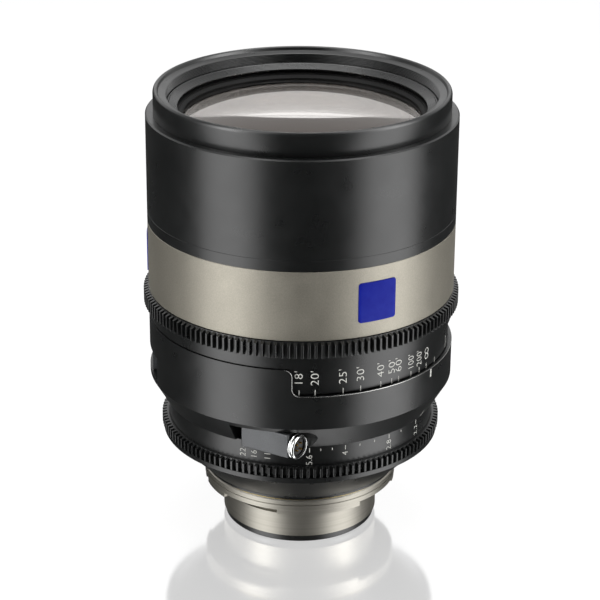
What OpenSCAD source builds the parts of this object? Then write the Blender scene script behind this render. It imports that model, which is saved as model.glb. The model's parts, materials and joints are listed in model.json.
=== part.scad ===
// Fixed-focal-length lens for a large cinema camera, standing on its rear ring with the glass up.
// The optical axis is Z. Azimuths start at the front, at -Y, and grow towards +X.
// Sizes are in millimetres and angles in degrees.

/* [Outer barrel] */
// Radius of the barrel, the name band and the window housing
barrel_r = 60; // [59.5:0.1:62]
// How far the front ring, which a matte box clamps on, lies inside the barrel
front_ring_step = 3; // [1.5:0.1:4]
// Height of the front ring above the barrel
front_ring_h = 9.3; // [8.5:0.1:12]
// Height of the black front barrel
front_barrel_h = 38.3; // [36:0.1:44]
// Wall of the front barrel and the name band
barrel_wall = 3.2; // [2.4:0.1:3.6]
// Height of the black collar over the name band
band_collar_h = 4.5; // [3:0.1:6]
// Height of the name band
name_band_h = 27.4; // [24:0.1:32]
// Bevel on the outer edges of the barrel pieces
edge_bevel = 0.5; // [0.2:0.05:0.8]

/* [Colour tiles] */
// Number of coloured tiles around the name band
tile_count = 3; // [2:1:4]
// Azimuth of the first tile
tile_azimuth = 28.1; // [0:0.1:60]
// Width of a tile along the band
tile_w = 15.6; // [10:0.1:20]
// Height of a tile
tile_h = 15.8; // [10:0.1:18]
// Corner radius of a tile
tile_corner_r = 1.2; // [0.6:0.1:3]
// How deep a tile is let into the band
tile_depth = 0.5; // [0.3:0.05:1]
// How far a tile stands out of the band
tile_proud = 0.35; // [0.1:0.05:0.6]

/* [Focus ring] */
// Module of the teeth on both gear rings
gear_module = 0.8; // [0.6:0.1:1]
// Height of the focus gear ring
focus_gear_h = 6.6; // [5:0.1:9]
// Height of the plain rim under the focus gear
focus_rim_h = 4.7; // [4:0.1:7]
// Height of the focus scale that the window shows
focus_scale_h = 10.6; // [8:0.1:14]
// Wall of the focus scale drum
focus_drum_wall = 2; // [1.4:0.1:2.2]
// How far the focus ring turns from the infinity mark to the close stop
focus_turn = 275; // [240:1:290]
// How far the focus ring turns past the infinity mark
focus_overrun_angle = 5; // [2:1:8]
// How far the focusing lenses slide from infinity to the close stop
focus_travel = 13.75; // [10:0.25:14.5]

/* [Window housing] */
// Height of the straight wall of the window housing
housing_wall_h = 24.3; // [22:0.1:30]
// Height of the cone under the straight wall
housing_cone_h = 10; // [8:0.1:13]
// Wall of the housing round the focus scale
housing_wall = 1.3; // [1:0.05:1.5]
// How far the cone stands out over the iris ring
housing_overhang = 1.5; // [0.8:0.1:2]
// Azimuth where the scale window starts
window_from_azimuth = -3; // [-20:1:10]
// Azimuth where the scale window ends
window_to_azimuth = 120; // [100:1:130]
// Radius of the corners of the scale window
window_corner_r = 3; // [1:0.1:3.4]

/* [Support pad] */
// Azimuth of the lens support pad
pad_azimuth = -90; // [-110:1:-80]
// Height of the pocket that the pad sits in
pad_pocket_h = 9.4; // [9:0.1:11]
// How far the pad face lies inside the housing wall
pad_sink = 1.8; // [1.4:0.1:2.2]
// Thickness of the pad plate
pad_t = 2.2; // [1.6:0.1:2.6]
// Length of the pad plate
pad_length = 24; // [20:0.5:26]
// Radius of the tapped hole in the pad
pad_hole_r = 2.5; // [2:0.1:3]

/* [Data block] */
// Azimuth that the data block faces
data_azimuth = -29.5; // [-40:0.5:-20]
// How far the face of the data cover stands out of the housing's foot
data_face_gain = 1.2; // [0.9:0.1:1.9]
// Where the data block starts along its face
data_start = 5.6; // [5.2:0.1:7]
// Length of the data block
data_length = 20.4; // [18:0.1:21]
// Height of the data block
data_block_h = 7.8; // [7.2:0.1:8]
// Thickness of the data cover
data_cover_t = 1.6; // [1:0.1:1.8]
// How far the data cover hangs below the block
data_cover_drop = 1.7; // [1:0.1:2]
// Radius of the data socket shell
socket_r = 4.9; // [4.6:0.1:5]
// Radius of the mouth of the data socket
socket_mouth_r = 3.5; // [3.2:0.1:3.7]
// How far the data socket stands out of the block
socket_proud = 3.2; // [2.4:0.1:3.4]
// Angle that the socket is turned outwards by
socket_angle = 7; // [0:0.5:8]
// Number of pins in the data socket
socket_pin_count = 4; // [3:1:6]

/* [Iris ring] */
// Height of the plain flange under the iris gear
iris_flange_h = 1.8; // [1.2:0.1:2.5]
// Height of the iris gear
iris_gear_h = 4.5; // [3.5:0.1:5]
// Height of the iris scale above the gear
iris_scale_h = 8.4; // [8:0.1:11]
// Wall of the iris ring
iris_ring_wall = 3.05; // [2.6:0.05:3.4]
// How far the iris ring turns from wide open to its smallest stop
iris_turn = 84; // [70:1:90]

/* [Iris unit] */
// Distance from the blade pivots to the edge of the open iris
iris_open_inset = 11.4; // [11:0.1:13]
// Radius of the closed iris
iris_closed_r = 2.6; // [2:0.1:5]
// Distance from the wall of the iris room to the blade pivots
blade_pivot_inset = 11.3; // [10.9:0.1:11.7]
// Width of an iris blade
blade_width = 10; // [9:0.1:10.2]
// Angle that an iris blade spans round the open iris
blade_span = 112; // [105:1:118]
// Thickness of an iris blade
blade_t = 0.25; // [0.15:0.01:0.3]
// Height from one blade to the next in the stack
blade_pitch = 0.36; // [0.34:0.01:0.4]
// Length of a blade's crank arm
blade_arm = 13; // [12.6:0.1:13.2]

/* [Core tube] */
// Distance from the outside of the barrel to the bore that the focusing lenses slide in
core_bore_inset = 16; // [15.8:0.1:16.4]
// Wall of the core tube where the cam tube turns on it
core_wall = 2.4; // [2:0.1:2.6]
// Thickness of the bushes under the cam tube
bush_t = 0.55; // [0.4:0.05:0.8]
// Wall of the cam tube
cam_wall = 2.2; // [1.8:0.1:2.4]
// Radius of the followers' rollers
roller_r = 1.6; // [1.4:0.05:1.8]

/* [Rear mount] */
// Radius of the mount barrel
mount_r = 31; // [30.5:0.1:31.5]
// Wall of the mount barrel
mount_wall = 3.4; // [3:0.1:3.8]
// Height of the mount barrel up to its flange
mount_barrel_h = 14.9; // [14.4:0.1:17]
// How far the mount flange stands out of the mount barrel
flange_w = 7.6; // [7.1:0.1:8.1]
// Height of the mount flange
flange_h = 5; // [4.5:0.1:6]
// Number of lugs on the mount
lug_count = 4; // [3:1:4]
// Azimuth of the middle of one lug
lug_azimuth = 12.5; // [5:0.5:20]
// Angle that one lug spans
lug_span = 52; // [44:1:56]
// Height of a lug
lug_h = 1.5; // [1:0.1:1.8]
// Height of the black ring that the lens stands on
rear_guard_h = 3; // [2.5:0.1:4]
// How far the black ring that the lens stands on lies inside the mount barrel
rear_guard_step = 0.8; // [0.6:0.1:1.2]
// Thickness of the shim between the mount and the rear cone
shim_t = 0.4; // [0.2:0.05:0.8]
// Height of the rear cone
rear_cone_h = 15.7; // [15:0.1:18]
// How far the top of the rear cone lies inside the iris ring
rear_cone_step = 0.6; // [0.1:0.1:1.1]

/* [Glass] */
// Distance from the outside of the front ring to the edge of the front glass
front_glass_inset = 9.5; // [9:0.1:10]
// Height of the edge of the front glass
front_glass_edge = 5.7; // [5:0.1:6]
// How far the front glass bulges
front_glass_bow = 5.5; // [4:0.1:6]
// Distance from the sliding bore to the edge of the focusing glasses
focus_glass_inset = 6.1; // [5.6:0.1:8]
// Distance from the mount bore to the edge of the glass nearest the iris
rear_glass_inset = 2.7; // [2.6:0.1:3.1]
// Distance from the mount bore to the edge of the rearmost glass
last_glass_inset = 5.2; // [4.8:0.1:6.6]

/* [Hidden] */
$fn = 120;

// Clearances
ring_gap = 0.3;
run_fit = 0.05;
seat_fit = 0.02;
cut_over = 1;
iris_blade_count = 10;

// Heights of the rings, from the rear ring upwards
guard_top = rear_guard_h;
flange_z = guard_top + mount_barrel_h;
shim_z = flange_z + flange_h;
cone_z = shim_z + shim_t;
cone_top = cone_z + rear_cone_h;
iris_z = cone_top + ring_gap;
iris_gear_z = iris_z + iris_flange_h;
iris_scale_z = iris_gear_z + iris_gear_h;
iris_top = iris_scale_z + iris_scale_h;
housing_z = iris_top + ring_gap;
housing_wall_z = housing_z + housing_cone_h;
housing_top = housing_wall_z + housing_wall_h;
rim_z = housing_top + ring_gap;
focus_gear_z = rim_z + focus_rim_h;
focus_gear_top = focus_gear_z + focus_gear_h;
band_z = focus_gear_top + ring_gap;
collar_z = band_z + name_band_h;
barrel_z = collar_z + band_collar_h;
barrel_top = barrel_z + front_barrel_h;
lens_top = barrel_top + front_ring_h;

// Radii of the tubes, from the sliding bore outwards
front_ring_r = barrel_r - front_ring_step;
core_bore_r = barrel_r - core_bore_inset;
core_r = core_bore_r + core_wall;
bush_r = core_r + bush_t;
cam_bore_r = bush_r + run_fit;
cam_r = cam_bore_r + cam_wall;
core_step = 0.3;
core_foot_r = cam_r + core_step;
iris_bore_r = core_foot_r + run_fit;
iris_skirt_r = iris_bore_r + iris_ring_wall;
housing_foot_r = iris_skirt_r + housing_overhang;
rear_cone_top_r = iris_skirt_r - rear_cone_step;
scale_bore_r = barrel_r - housing_wall;
drum_r = scale_bore_r - ring_gap;
drum_bore_r = drum_r - focus_drum_wall;
rim_step = 0.6;
rim_r = barrel_r - rim_step;
band_bevel = 0.17;

// Gear teeth
tooth_tip_share = 0.17;
tooth_root_share = 0.29;
tooth_h_shares = 2.25;
tooth_h = gear_module * tooth_h_shares;
iris_gear_rim = 1.2;
iris_gear_root = iris_skirt_r + iris_gear_rim;
tip_teeth = 2;
iris_teeth = round(2 * (iris_gear_root + tooth_h) / gear_module) - tip_teeth;
focus_gear_rise = 0.2;
focus_gear_root = barrel_r + focus_gear_rise;
focus_teeth = round(2 * (focus_gear_root + tooth_h) / gear_module) - tip_teeth;
iris_flange_shares = 2 / 3;
iris_flange_r = iris_gear_root + tooth_h * iris_flange_shares;

// Screws
screw_r = 1.25;
screw_tap_depth = 3.6;
screw_head_r = 2.2;
screw_head_h = 1.4;
screw_hex_r = 1.15;
screw_hex_depth = 0.8;

// Mount
mount_bore_r = mount_r - mount_wall;
flange_r = mount_r + flange_w;
rear_guard_r = mount_r - rear_guard_step;
rear_glass_r = mount_bore_r - rear_glass_inset;
last_glass_r = mount_bore_r - last_glass_inset;
lug_z = flange_z - lug_h;
lug_sink = 0.2;
lug_r = flange_r - lug_sink;
lug_notch_w = 4;
lug_notch_depth = 2.6;
lug_bite = 1.5;
neck_step = 0.85;
slit_azimuth = -38.5;
slit_span = 47;
slit_depth = 2.2;
slit_h = 2.6;
slit_drop = 1.1;
flange_line_depth = 0.3;
flange_line_w = 0.35;
mount_screw_r = (mount_r + flange_r) / 2;
mount_screw_angle = 9;
mount_screw_bite = screw_tap_depth;
guard_wall = 5;
guard_spigot_h = 2.4;
guard_spigot_wall = 1.6;

// Rear cone
cone_foot_h = 0.9;
cone_rim_h = 1.5;
cone_seat_h = 4;
cone_seat_w = 4;
cone_web_h = 3;
cone_wall = 3.4;

// Core tube
core_foot_h = 3;
core_foot_z = cone_top - core_foot_h;
iris_room_wall = 2.2;
iris_room_r = core_foot_r - iris_room_wall;
iris_sill_w = 2.3;
core_step_drop = 4.6;
core_step_z = housing_top - core_step_drop;
core_neck_w = 2;
core_flange_h = 3.5;
core_flange_w = 9.8;
core_flange_r = core_r + core_flange_w;
core_flange_drop = 9.2;
core_flange_top = barrel_top - core_flange_drop;
core_flange_z = core_flange_top - core_flange_h;

// Cam tube
cam_z = core_step_z + ring_gap;
cam_ring_h = 3;
cam_ring_w = 3.8;
cam_ring_drop = 3.7;
cam_ring_z = core_flange_z - cam_ring_drop - cam_ring_h;
cam_top = cam_ring_z - ring_gap;
cam_flange_h = 2.8;
cam_flange_w = 6.4;
cam_flange_r = cam_r + cam_flange_w;
bush_h = 4;
bush_inset = 2.5;
drum_web_h = 3;
drum_web_z = focus_gear_z - drum_web_h;
drum_foot_gap = 0.5;
window_z = rim_z - focus_scale_h - drum_foot_gap;
drum_z = window_z + drum_foot_gap;
shelf_z = window_z - drum_foot_gap;
ring_screw_count = 6;
ring_screw_circle = (cam_r + cam_flange_r) / 2;
ring_screw_bite = 2;

// Focusing carriage
focus_glass_r = core_bore_r - focus_glass_inset;
carriage_h = 26;
carriage_r = core_bore_r - run_fit;
carriage_back = focus_travel * focus_overrun_angle / focus_turn;
carriage_rise = 3.5;
carriage_z = band_z + carriage_rise;
carriage_top = carriage_z + carriage_h;
carriage_stop_z = carriage_z - carriage_back - ring_gap;
carriage_lip_h = 3;
carriage_lip_w = 2.4;
carriage_bore_r = focus_glass_r + run_fit;
follower_z = carriage_z + carriage_h / 2;
follower_count = 3;
follower_azimuth = 20;
follower_r = 1.2;
follower_head_r = 1.5;
follower_root = 3;
follower_slot_r = roller_r + run_fit;
roller_side_gap = 0.25;
follower_head_h = 0.5;
cam_step_angle = 7.5;
cam_corners = 4;

// Iris unit, stacked on the sill of the core tube
iris_sill_z = cone_top + core_foot_h;
iris_plate_h = 2.6;
iris_plate_top = iris_sill_z + iris_plate_h;
blade_play = 0.2;
blade_z = iris_plate_top + blade_play;
blade_stack_top = blade_z + iris_blade_count * blade_pitch;
rotor_z = blade_stack_top + blade_play;
rotor_h = 2.6;
rotor_top = rotor_z + rotor_h;
rotor_r = iris_room_r - run_fit;
iris_cover_z = rotor_top + ring_gap;
iris_cover_h = 2;
iris_opening_gain = 0.9;
blade_pivot_r = iris_room_r - blade_pivot_inset;
iris_open_r = blade_pivot_r - iris_open_inset;
iris_opening_r = iris_open_r + iris_opening_gain;
blade_outer_r = iris_open_r + blade_width;
blade_turn = 2 * asin((iris_open_r - iris_closed_r) / (2 * blade_pivot_r));
blade_rest_angle = 48;
blade_root_r = 2;
blade_root_angle = 6;
blade_arm_w = 2.2;
pivot_pin_r = 0.8;
pivot_floor = 0.3;
pivot_gap = 0.3;
pivot_z = iris_sill_z + pivot_floor + pivot_gap;
drive_pin_r = 0.55;
drive_slot_fit = 0.1;
drive_slot_r = drive_pin_r + drive_slot_fit;
slot_steps = 14;
rotor_rim = 0.9;
rotor_bore_r = crank_r(blade_turn) - drive_slot_r - rotor_rim;
ring_pin_count = 2;
ring_pin_r = 0.9;
ring_pin_bite = 1.3;
ring_pin_margin_angle = 2;
ring_pin_lag_angle = 18;
ring_pin_fit = 0.1;
ring_pin_root_shares = 2 / 3;
ring_pin_z = rotor_z + rotor_h / 2;
ring_pin_angle = crank_angle(0) - ring_pin_lag_angle;

// Housing
corner_bite_shares = 1 / 50;
housing_web_h = 5.7;
housing_web_top = housing_z + housing_web_h;
housing_room_w = 3.5;
housing_room_r = core_foot_r + housing_room_w;
housing_slope_h = 5;
housing_slope_w = 1.5;
pad_pocket_rise = 2.3;
pad_pocket_z = housing_wall_z + pad_pocket_rise;
pad_face_u = barrel_r - pad_sink;
pad_floor_u = pad_face_u - pad_t;
pad_margin = 0.4;
pad_screw_inset = 4;
pad_screw_bite = 1.8;

// Data block
data_lift = 0.2;
data_z = housing_z + data_lift;
data_top = data_z + data_block_h;
data_face_u = housing_foot_r + data_face_gain;
data_depth = 9.5;
data_back_u = data_face_u - data_depth;
data_front_u = data_face_u - data_cover_t;
data_end = data_start + data_length;
data_side_gap = 3.2;
data_core_gap = 0.3;
socket_lip = 0.4;
socket_u = data_face_u - socket_r + socket_lip;
socket_drop = 0.9;
socket_z = data_top - socket_r - socket_drop;
socket_plug_gap = 1.4;
socket_recess = 1.4;
socket_root = 2;
socket_root_r = 4;
socket_foot = socket_r * sin(socket_angle) + run_fit;
socket_pin_r = 0.35;
socket_pin_circle = 1.7;
socket_pin_h = 1;
board_azimuth = -50;
board_w = 14;
board_h = 14;
board_t = 1;
board_gap = 0.3;

// Front glass, its cell and the front ring
front_glass_r = front_ring_r - front_glass_inset;
cell_fit = 0.05;
cell_wall = 3.95;
cell_r = front_glass_r + cell_fit + cell_wall;
cell_flange_w = 3;
cell_flange_h = 3;
cell_top = barrel_top + ring_gap;
glass_seat_h = 1.5;
glass_seat_z = core_flange_top + glass_seat_h;
cell_tail_h = 17;
cell_tail_r = core_bore_r - run_fit;
cell_tail_wall = 2.7;
cell_tail_bore = cell_tail_r - cell_tail_wall;
cell_lip_h = 2;
cell_lip_w = 2.7;
cell_tail_z = core_flange_top - cell_tail_h;
retainer_w = 1.85;
retainer_drop = 0.4;
retainer_bevel = 1;
spigot_h = 4.2;
spigot_inset = 1.5;
spigot_r = front_ring_r - spigot_inset;
thread_gain = 0.5;
thread_r = cell_r + thread_gain;
thread_relief = 1.4;
mouth_drop = 2.1;
mouth_inset = 1.7;
mouth_step = 0.5;
mouth_step_shares = 1 / 4;
mouth_lip = 0.4;
baffle_h = 3.3;
baffle_fall = 1.6;
baffle_crown = 1.05;
baffle_reach = 3.2;
baffle_edge = 0.5;
baffle_foot = 1.55;
barrel_web_h = 3.5;
barrel_web_w = 6;
barrel_screw_count = 6;
barrel_screw_bite = 2.4;

// Glasses inside the cells
glass_land = 0.4;
inner_glass_edge = 5.2;
inner_glass_bow = 2;
spacer_h = 1.9;
focus_glass_edge = 6.5;
focus_glass_bow = 2.4;
rear_glass_edge = 5;
rear_glass_bow = 1.6;

// Rear cell
rear_cell_r = mount_bore_r - run_fit;
rear_cell_z = 9;
rear_cell_flange_h = 2.6;
rear_cell_top_h = 8.5;
rear_cell_wall = 2.6;
rear_seat_z = cone_z + cone_seat_h;
rear_cell_top = rear_seat_z + rear_cell_top_h;
rear_retainer_h = 2;
rear_retainer_w = 2.4;

function blade_name(i) = str("iris_blade_", i < 10 ? "0" : "", i);

// Place of the pin on a blade's crank arm, after the blade has turned by an angle
function crank_x(turn) = blade_pivot_r + blade_arm * cos(blade_rest_angle + turn);
function crank_y(turn) = blade_arm * sin(blade_rest_angle + turn);
function crank_r(turn) = norm([crank_x(turn), crank_y(turn)]);
function crank_angle(turn) = atan2(crank_y(turn), crank_x(turn));

// The same pin seen from the rotor, which turns further than the blade does
function slot_point(turn) =
    let (a = crank_angle(turn) - turn * iris_turn / blade_turn, r = crank_r(turn))
    [r * cos(a), r * sin(a)];
function slot_normal(turn) =
    let (d = slot_point(turn + 1) - slot_point(turn - 1))
    [-d[1], d[0]] / norm(d);
function slot_side(side) = [
    for (i = [0 : slot_steps])
        let (turn = blade_turn * i / slot_steps)
        slot_point(turn) + side * drive_slot_r * slot_normal(turn)];
function reversed(list) = [for (i = [len(list) - 1 : -1 : 0]) list[i]];

// Outline of a gear with straight-sided teeth
function gear_outline(teeth, root_r) = [
    for (i = [0 : teeth - 1], p = [
        [root_r + tooth_h, -tooth_tip_share], [root_r + tooth_h, tooth_tip_share],
        [root_r, tooth_root_share], [root_r, 1 - tooth_root_share]])
        let (a = (i + p[1]) * 360 / teeth)
        [p[0] * cos(a), p[0] * sin(a)]];

// Turns its children so that +X points outwards at an azimuth
module at_azimuth(azimuth) {
    rotate([0, 0, azimuth - 90]) children();
}

module ring(bore, outer, z0, z1) {
    rotate_extrude()
        translate([bore, z0])
            square([outer - bore, z1 - z0]);
}

// A ring whose two outer edges are bevelled
module bevelled_ring(bore, outer, z0, z1, bevel) {
    rotate_extrude()
        polygon([
            [bore, z0], [outer - bevel, z0], [outer, z0 + bevel],
            [outer, z1 - bevel], [outer - bevel, z1], [bore, z1]]);
}

// A ring sector, centred on the azimuth that the caller turned it to
module ring_sector(bore, outer, z0, z1, span) {
    rotate([0, 0, -span / 2])
        rotate_extrude(angle = span)
            translate([bore, z0])
                square([outer - bore, z1 - z0]);
}

module gear_body(teeth, root_r, bore, z0, h) {
    translate([0, 0, z0])
        difference() {
            linear_extrude(height = h) polygon(gear_outline(teeth, root_r));
            translate([0, 0, -cut_over]) cylinder(r = bore, h = h + 2 * cut_over);
        }
}

// A rod that lies along the outward direction
module radial_rod(r, from, to, sides = 48) {
    translate([from, 0, 0])
        rotate([0, 90, 0])
            cylinder(r = r, h = to - from, $fn = sides);
}

// A screw that points along +Z, with its head's outer face at zero
module screw(head_r, head_h, r, bite) {
    difference() {
        union() {
            cylinder(r = head_r, h = head_h, $fn = 48);
            cylinder(r = r, h = head_h + bite, $fn = 48);
        }
        translate([0, 0, -cut_over])
            cylinder(r = screw_hex_r, h = cut_over + screw_hex_depth, $fn = 6);
    }
}

module screw_hole(head_r, head_h, r, bite) {
    translate([0, 0, -cut_over]) cylinder(r = head_r, h = cut_over + head_h, $fn = 48);
    cylinder(r = r, h = head_h + bite, $fn = 48);
}

// Half section of one bowed face: a slice of a circle through the rim of the glass
module bow_slice(r, z, bow, up) {
    bend_r = (r * r + bow * bow) / (2 * abs(bow));
    apex = z + up * bow;
    middle = bow > 0 ? apex - up * bend_r : apex + up * bend_r;
    far = apex + sign(apex - z) * cut_over;
    intersection() {
        translate([0, middle]) circle(r = bend_r, $fn = 360);
        translate([0, min(z, far)]) square([2 * r, abs(far - z)]);
    }
}

// How far a bowed face stands above its edge at a smaller radius
function bow_rise(r, bow, at) =
    let (edge = r - glass_land, bend_r = (edge * edge + bow * bow) / (2 * bow))
    sqrt(bend_r * bend_r - at * at) - sqrt(bend_r * bend_r - edge * edge);

// A glass with an edge from z0 to z1; a negative bow hollows that face
module glass_blank(r, z0, z1, bow0, bow1) {
    edge = r - glass_land;
    rotate_extrude()
        difference() {
            union() {
                translate([0, z0]) square([r, z1 - z0]);
                if (bow0 > 0) bow_slice(edge, z0, bow0, -1);
                if (bow1 > 0) bow_slice(edge, z1, bow1, 1);
            }
            if (bow0 < 0) bow_slice(edge, z0, bow0, -1);
            if (bow1 < 0) bow_slice(edge, z1, bow1, 1);
        }
}

// Front ring, baffle and retainer

module front_ring() {
    relief_r = thread_r + thread_relief;
    mouth_z = lens_top - mouth_drop;
    color("#1b1c1c")
        rotate_extrude()
            polygon([
                [relief_r, barrel_top - spigot_h], [spigot_r, barrel_top - spigot_h],
                [spigot_r, barrel_top], [front_ring_r, barrel_top],
                [front_ring_r, lens_top - edge_bevel], [front_ring_r - edge_bevel, lens_top],
                [front_ring_r - edge_bevel - mouth_lip, lens_top],
                [front_ring_r - mouth_inset, mouth_z + mouth_step],
                [thread_r + mouth_step, mouth_z + mouth_step * mouth_step_shares],
                [thread_r, mouth_z], [thread_r, cell_top + baffle_h],
                [relief_r, cell_top + baffle_h]]);
}

module front_baffle() {
    r = thread_r + thread_relief - run_fit;
    z = cell_top;
    crown = thread_r - baffle_crown;
    tip = crown - baffle_reach;
    foot = thread_r - baffle_foot;
    color("#161616")
        rotate_extrude()
            polygon([
                [foot, z], [r, z], [r, z + baffle_h], [crown, z + baffle_h],
                [tip, z + baffle_h - baffle_fall],
                [tip, z + baffle_h - baffle_fall - baffle_edge],
                [foot, z + baffle_h - baffle_fall - baffle_edge]]);
}

module front_retainer() {
    r = front_glass_r + cell_fit;
    z0 = glass_seat_z + front_glass_edge
        + bow_rise(front_glass_r, front_glass_bow, r - retainer_w);
    z1 = cell_top - retainer_drop;
    color("#242424")
        rotate_extrude()
            polygon([
                [r - retainer_w, z0], [r, z0], [r, z1], [r - retainer_w + retainer_bevel, z1],
                [r - retainer_w, z1 - retainer_bevel]]);
}

// Barrel

module front_barrel() {
    bore = barrel_r - barrel_wall;
    web_r = core_flange_r - barrel_web_w;
    color("#1c1d1d")
        difference() {
            rotate_extrude()
                polygon([
                    [bore, barrel_z], [barrel_r, barrel_z],
                    [barrel_r, barrel_top - edge_bevel], [barrel_r - edge_bevel, barrel_top],
                    [spigot_r, barrel_top], [spigot_r, barrel_top - spigot_h],
                    [bore, barrel_top - spigot_h], [bore, core_flange_z],
                    [web_r, core_flange_z], [web_r, core_flange_z - barrel_web_h],
                    [bore, core_flange_z - barrel_web_h]]);
            barrel_screw_places()
                screw_hole(screw_head_r, screw_head_h, screw_r, core_flange_h + barrel_screw_bite);
        }
}

module barrel_screw_places() {
    circle_r = core_flange_r - barrel_web_w / 2;
    for (i = [0 : barrel_screw_count - 1])
        rotate([0, 0, i * 360 / barrel_screw_count])
            translate([circle_r, 0, core_flange_top])
                rotate([180, 0, 0])
                    children();
}

module barrel_screws() {
    color("#8a8a88")
        barrel_screw_places()
            screw(screw_head_r, screw_head_h, screw_r,
                core_flange_h - screw_head_h + barrel_screw_bite);
}

module band_collar() {
    color("#1c1d1d")
        bevelled_ring(barrel_r - barrel_wall, barrel_r, collar_z, barrel_z, band_bevel);
}

module tile_outline(grow) {
    w = tile_w + 2 * grow;
    h = tile_h + 2 * grow;
    c = tile_corner_r;
    rotate([0, 90, 0])
        linear_extrude(height = barrel_r + cut_over) {
            square([h, w - 2 * c], center = true);
            square([h - 2 * c, w], center = true);
            for (x = [-1, 1], y = [-1, 1])
                translate([x * (h / 2 - c), y * (w / 2 - c)])
                    circle(r = c, $fn = 32);
        }
}

module tile_places() {
    for (i = [0 : tile_count - 1])
        at_azimuth(tile_azimuth + i * 360 / tile_count)
            translate([0, 0, band_z + name_band_h / 2])
                children();
}

module name_band() {
    color("#837f78")
        difference() {
            bevelled_ring(barrel_r - barrel_wall, barrel_r, band_z, collar_z, band_bevel);
            tile_places()
                difference() {
                    tile_outline(run_fit);
                    translate([0, 0, -name_band_h / 2])
                        cylinder(r = barrel_r - tile_depth, h = name_band_h);
                }
        }
}

module band_tiles() {
    color("#2c3c9c")
        tile_places()
            intersection() {
                tile_outline(0);
                ring(barrel_r - tile_depth, barrel_r + tile_proud, -tile_h, tile_h);
            }
}

// Front cell and its glasses

module front_cell() {
    seat_bore = cell_tail_bore;
    color("#141414")
        rotate_extrude()
            polygon([
                [seat_bore - cell_lip_w, cell_tail_z], [cell_tail_r, cell_tail_z],
                [cell_tail_r, core_flange_top], [cell_r + cell_flange_w, core_flange_top],
                [cell_r + cell_flange_w, core_flange_top + cell_flange_h],
                [cell_r, core_flange_top + cell_flange_h], [cell_r, cell_top],
                [front_glass_r + cell_fit, cell_top], [front_glass_r + cell_fit, glass_seat_z],
                [seat_bore, glass_seat_z], [seat_bore, cell_tail_z + cell_lip_h],
                [seat_bore - cell_lip_w, cell_tail_z + cell_lip_h]]);
}

module front_glass() {
    color("#9fb0a8", 0.5)
        glass_blank(front_glass_r, glass_seat_z, glass_seat_z + front_glass_edge,
            -inner_glass_bow, front_glass_bow);
}

module third_glass() {
    z = cell_tail_z + cell_lip_h;
    color("#a8b0b0", 0.5)
        glass_blank(cell_tail_bore - cell_fit, z, z + inner_glass_edge, 0, -inner_glass_bow);
}

// A spacer between the two inner glasses and a ring that holds them down
module glass_spacers() {
    r = cell_tail_bore - cell_fit;
    bore = cell_tail_bore - cell_lip_w;
    rise = bow_rise(r, inner_glass_bow, bore);
    low = cell_tail_z + cell_lip_h + inner_glass_edge;
    high = low + spacer_h + inner_glass_edge + rise;
    color("#1a1a1a") {
        ring(bore, r, low, low + spacer_h - rise);
        ring(bore, r, high, high + spacer_h);
    }
}

module second_glass() {
    z = cell_tail_z + cell_lip_h + inner_glass_edge + spacer_h;
    color("#a8b0b0", 0.5)
        glass_blank(cell_tail_bore - cell_fit, z, z + inner_glass_edge, inner_glass_bow,
            inner_glass_bow);
}

// Core tube, which carries every other piece

module core_tube() {
    neck_r = core_bore_r - core_neck_w;
    color("#2a2a2a")
        difference() {
            rotate_extrude()
                polygon([
                    [iris_room_r - iris_sill_w, core_foot_z], [core_foot_r, core_foot_z],
                    [core_foot_r, core_step_z], [core_r, core_step_z],
                    [core_r, core_flange_z], [core_flange_r, core_flange_z],
                    [core_flange_r, core_flange_top], [core_bore_r, core_flange_top],
                    [core_bore_r, carriage_stop_z], [neck_r, carriage_stop_z],
                    [neck_r, housing_web_top], [iris_room_r, housing_web_top],
                    [iris_room_r, iris_sill_z], [iris_room_r - iris_sill_w, iris_sill_z]]);
            follower_places() guide_slot();
            ring_pin_slots();
            barrel_screw_places()
                screw_hole(screw_head_r, screw_head_h, screw_r, core_flange_h);
        }
}

module follower_places() {
    for (i = [0 : follower_count - 1])
        at_azimuth(follower_azimuth + i * 360 / follower_count)
            children();
}

// Straight slot that keeps a follower from turning
module guide_slot() {
    low = follower_z - carriage_back - ring_gap;
    high = follower_z + focus_travel + ring_gap;
    from = carriage_r - cut_over;
    to = core_r + cut_over;
    for (z = [low, high])
        translate([0, 0, z]) radial_rod(follower_slot_r, from, to);
    translate([from, -follower_slot_r, low])
        cube([to - from, 2 * follower_slot_r, high - low]);
}

// Slots that the iris ring's drive pins sweep through
module ring_pin_slots() {
    span = iris_turn + 2 * ring_pin_margin_angle;
    h = ring_pin_r + ring_pin_fit;
    for (i = [0 : ring_pin_count - 1])
        rotate([0, 0, ring_pin_angle + iris_turn / 2 + i * 360 / ring_pin_count])
            ring_sector(rotor_r - cut_over, core_foot_r + cut_over,
                ring_pin_z - h, ring_pin_z + h, span);
}

module cam_ring() {
    color("#3a3a3a")
        bevelled_ring(core_r, core_r + cam_ring_w, cam_ring_z, cam_ring_z + cam_ring_h, edge_bevel);
}

module cam_bushes() {
    color("#8d6b3a") {
        ring(core_r, bush_r, cam_z + bush_inset, cam_z + bush_inset + bush_h);
        ring(core_r, bush_r, cam_top - bush_inset - bush_h, cam_top - bush_inset);
    }
}

// Focus ring

module ring_screw_places() {
    for (i = [0 : ring_screw_count - 1])
        rotate([0, 0, i * 360 / ring_screw_count])
            translate([ring_screw_circle, 0, drum_web_z])
                children();
}

module focus_gear() {
    color("#151515")
        gear_body(focus_teeth, focus_gear_root, cam_flange_r + seat_fit, focus_gear_z, focus_gear_h);
}

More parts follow.
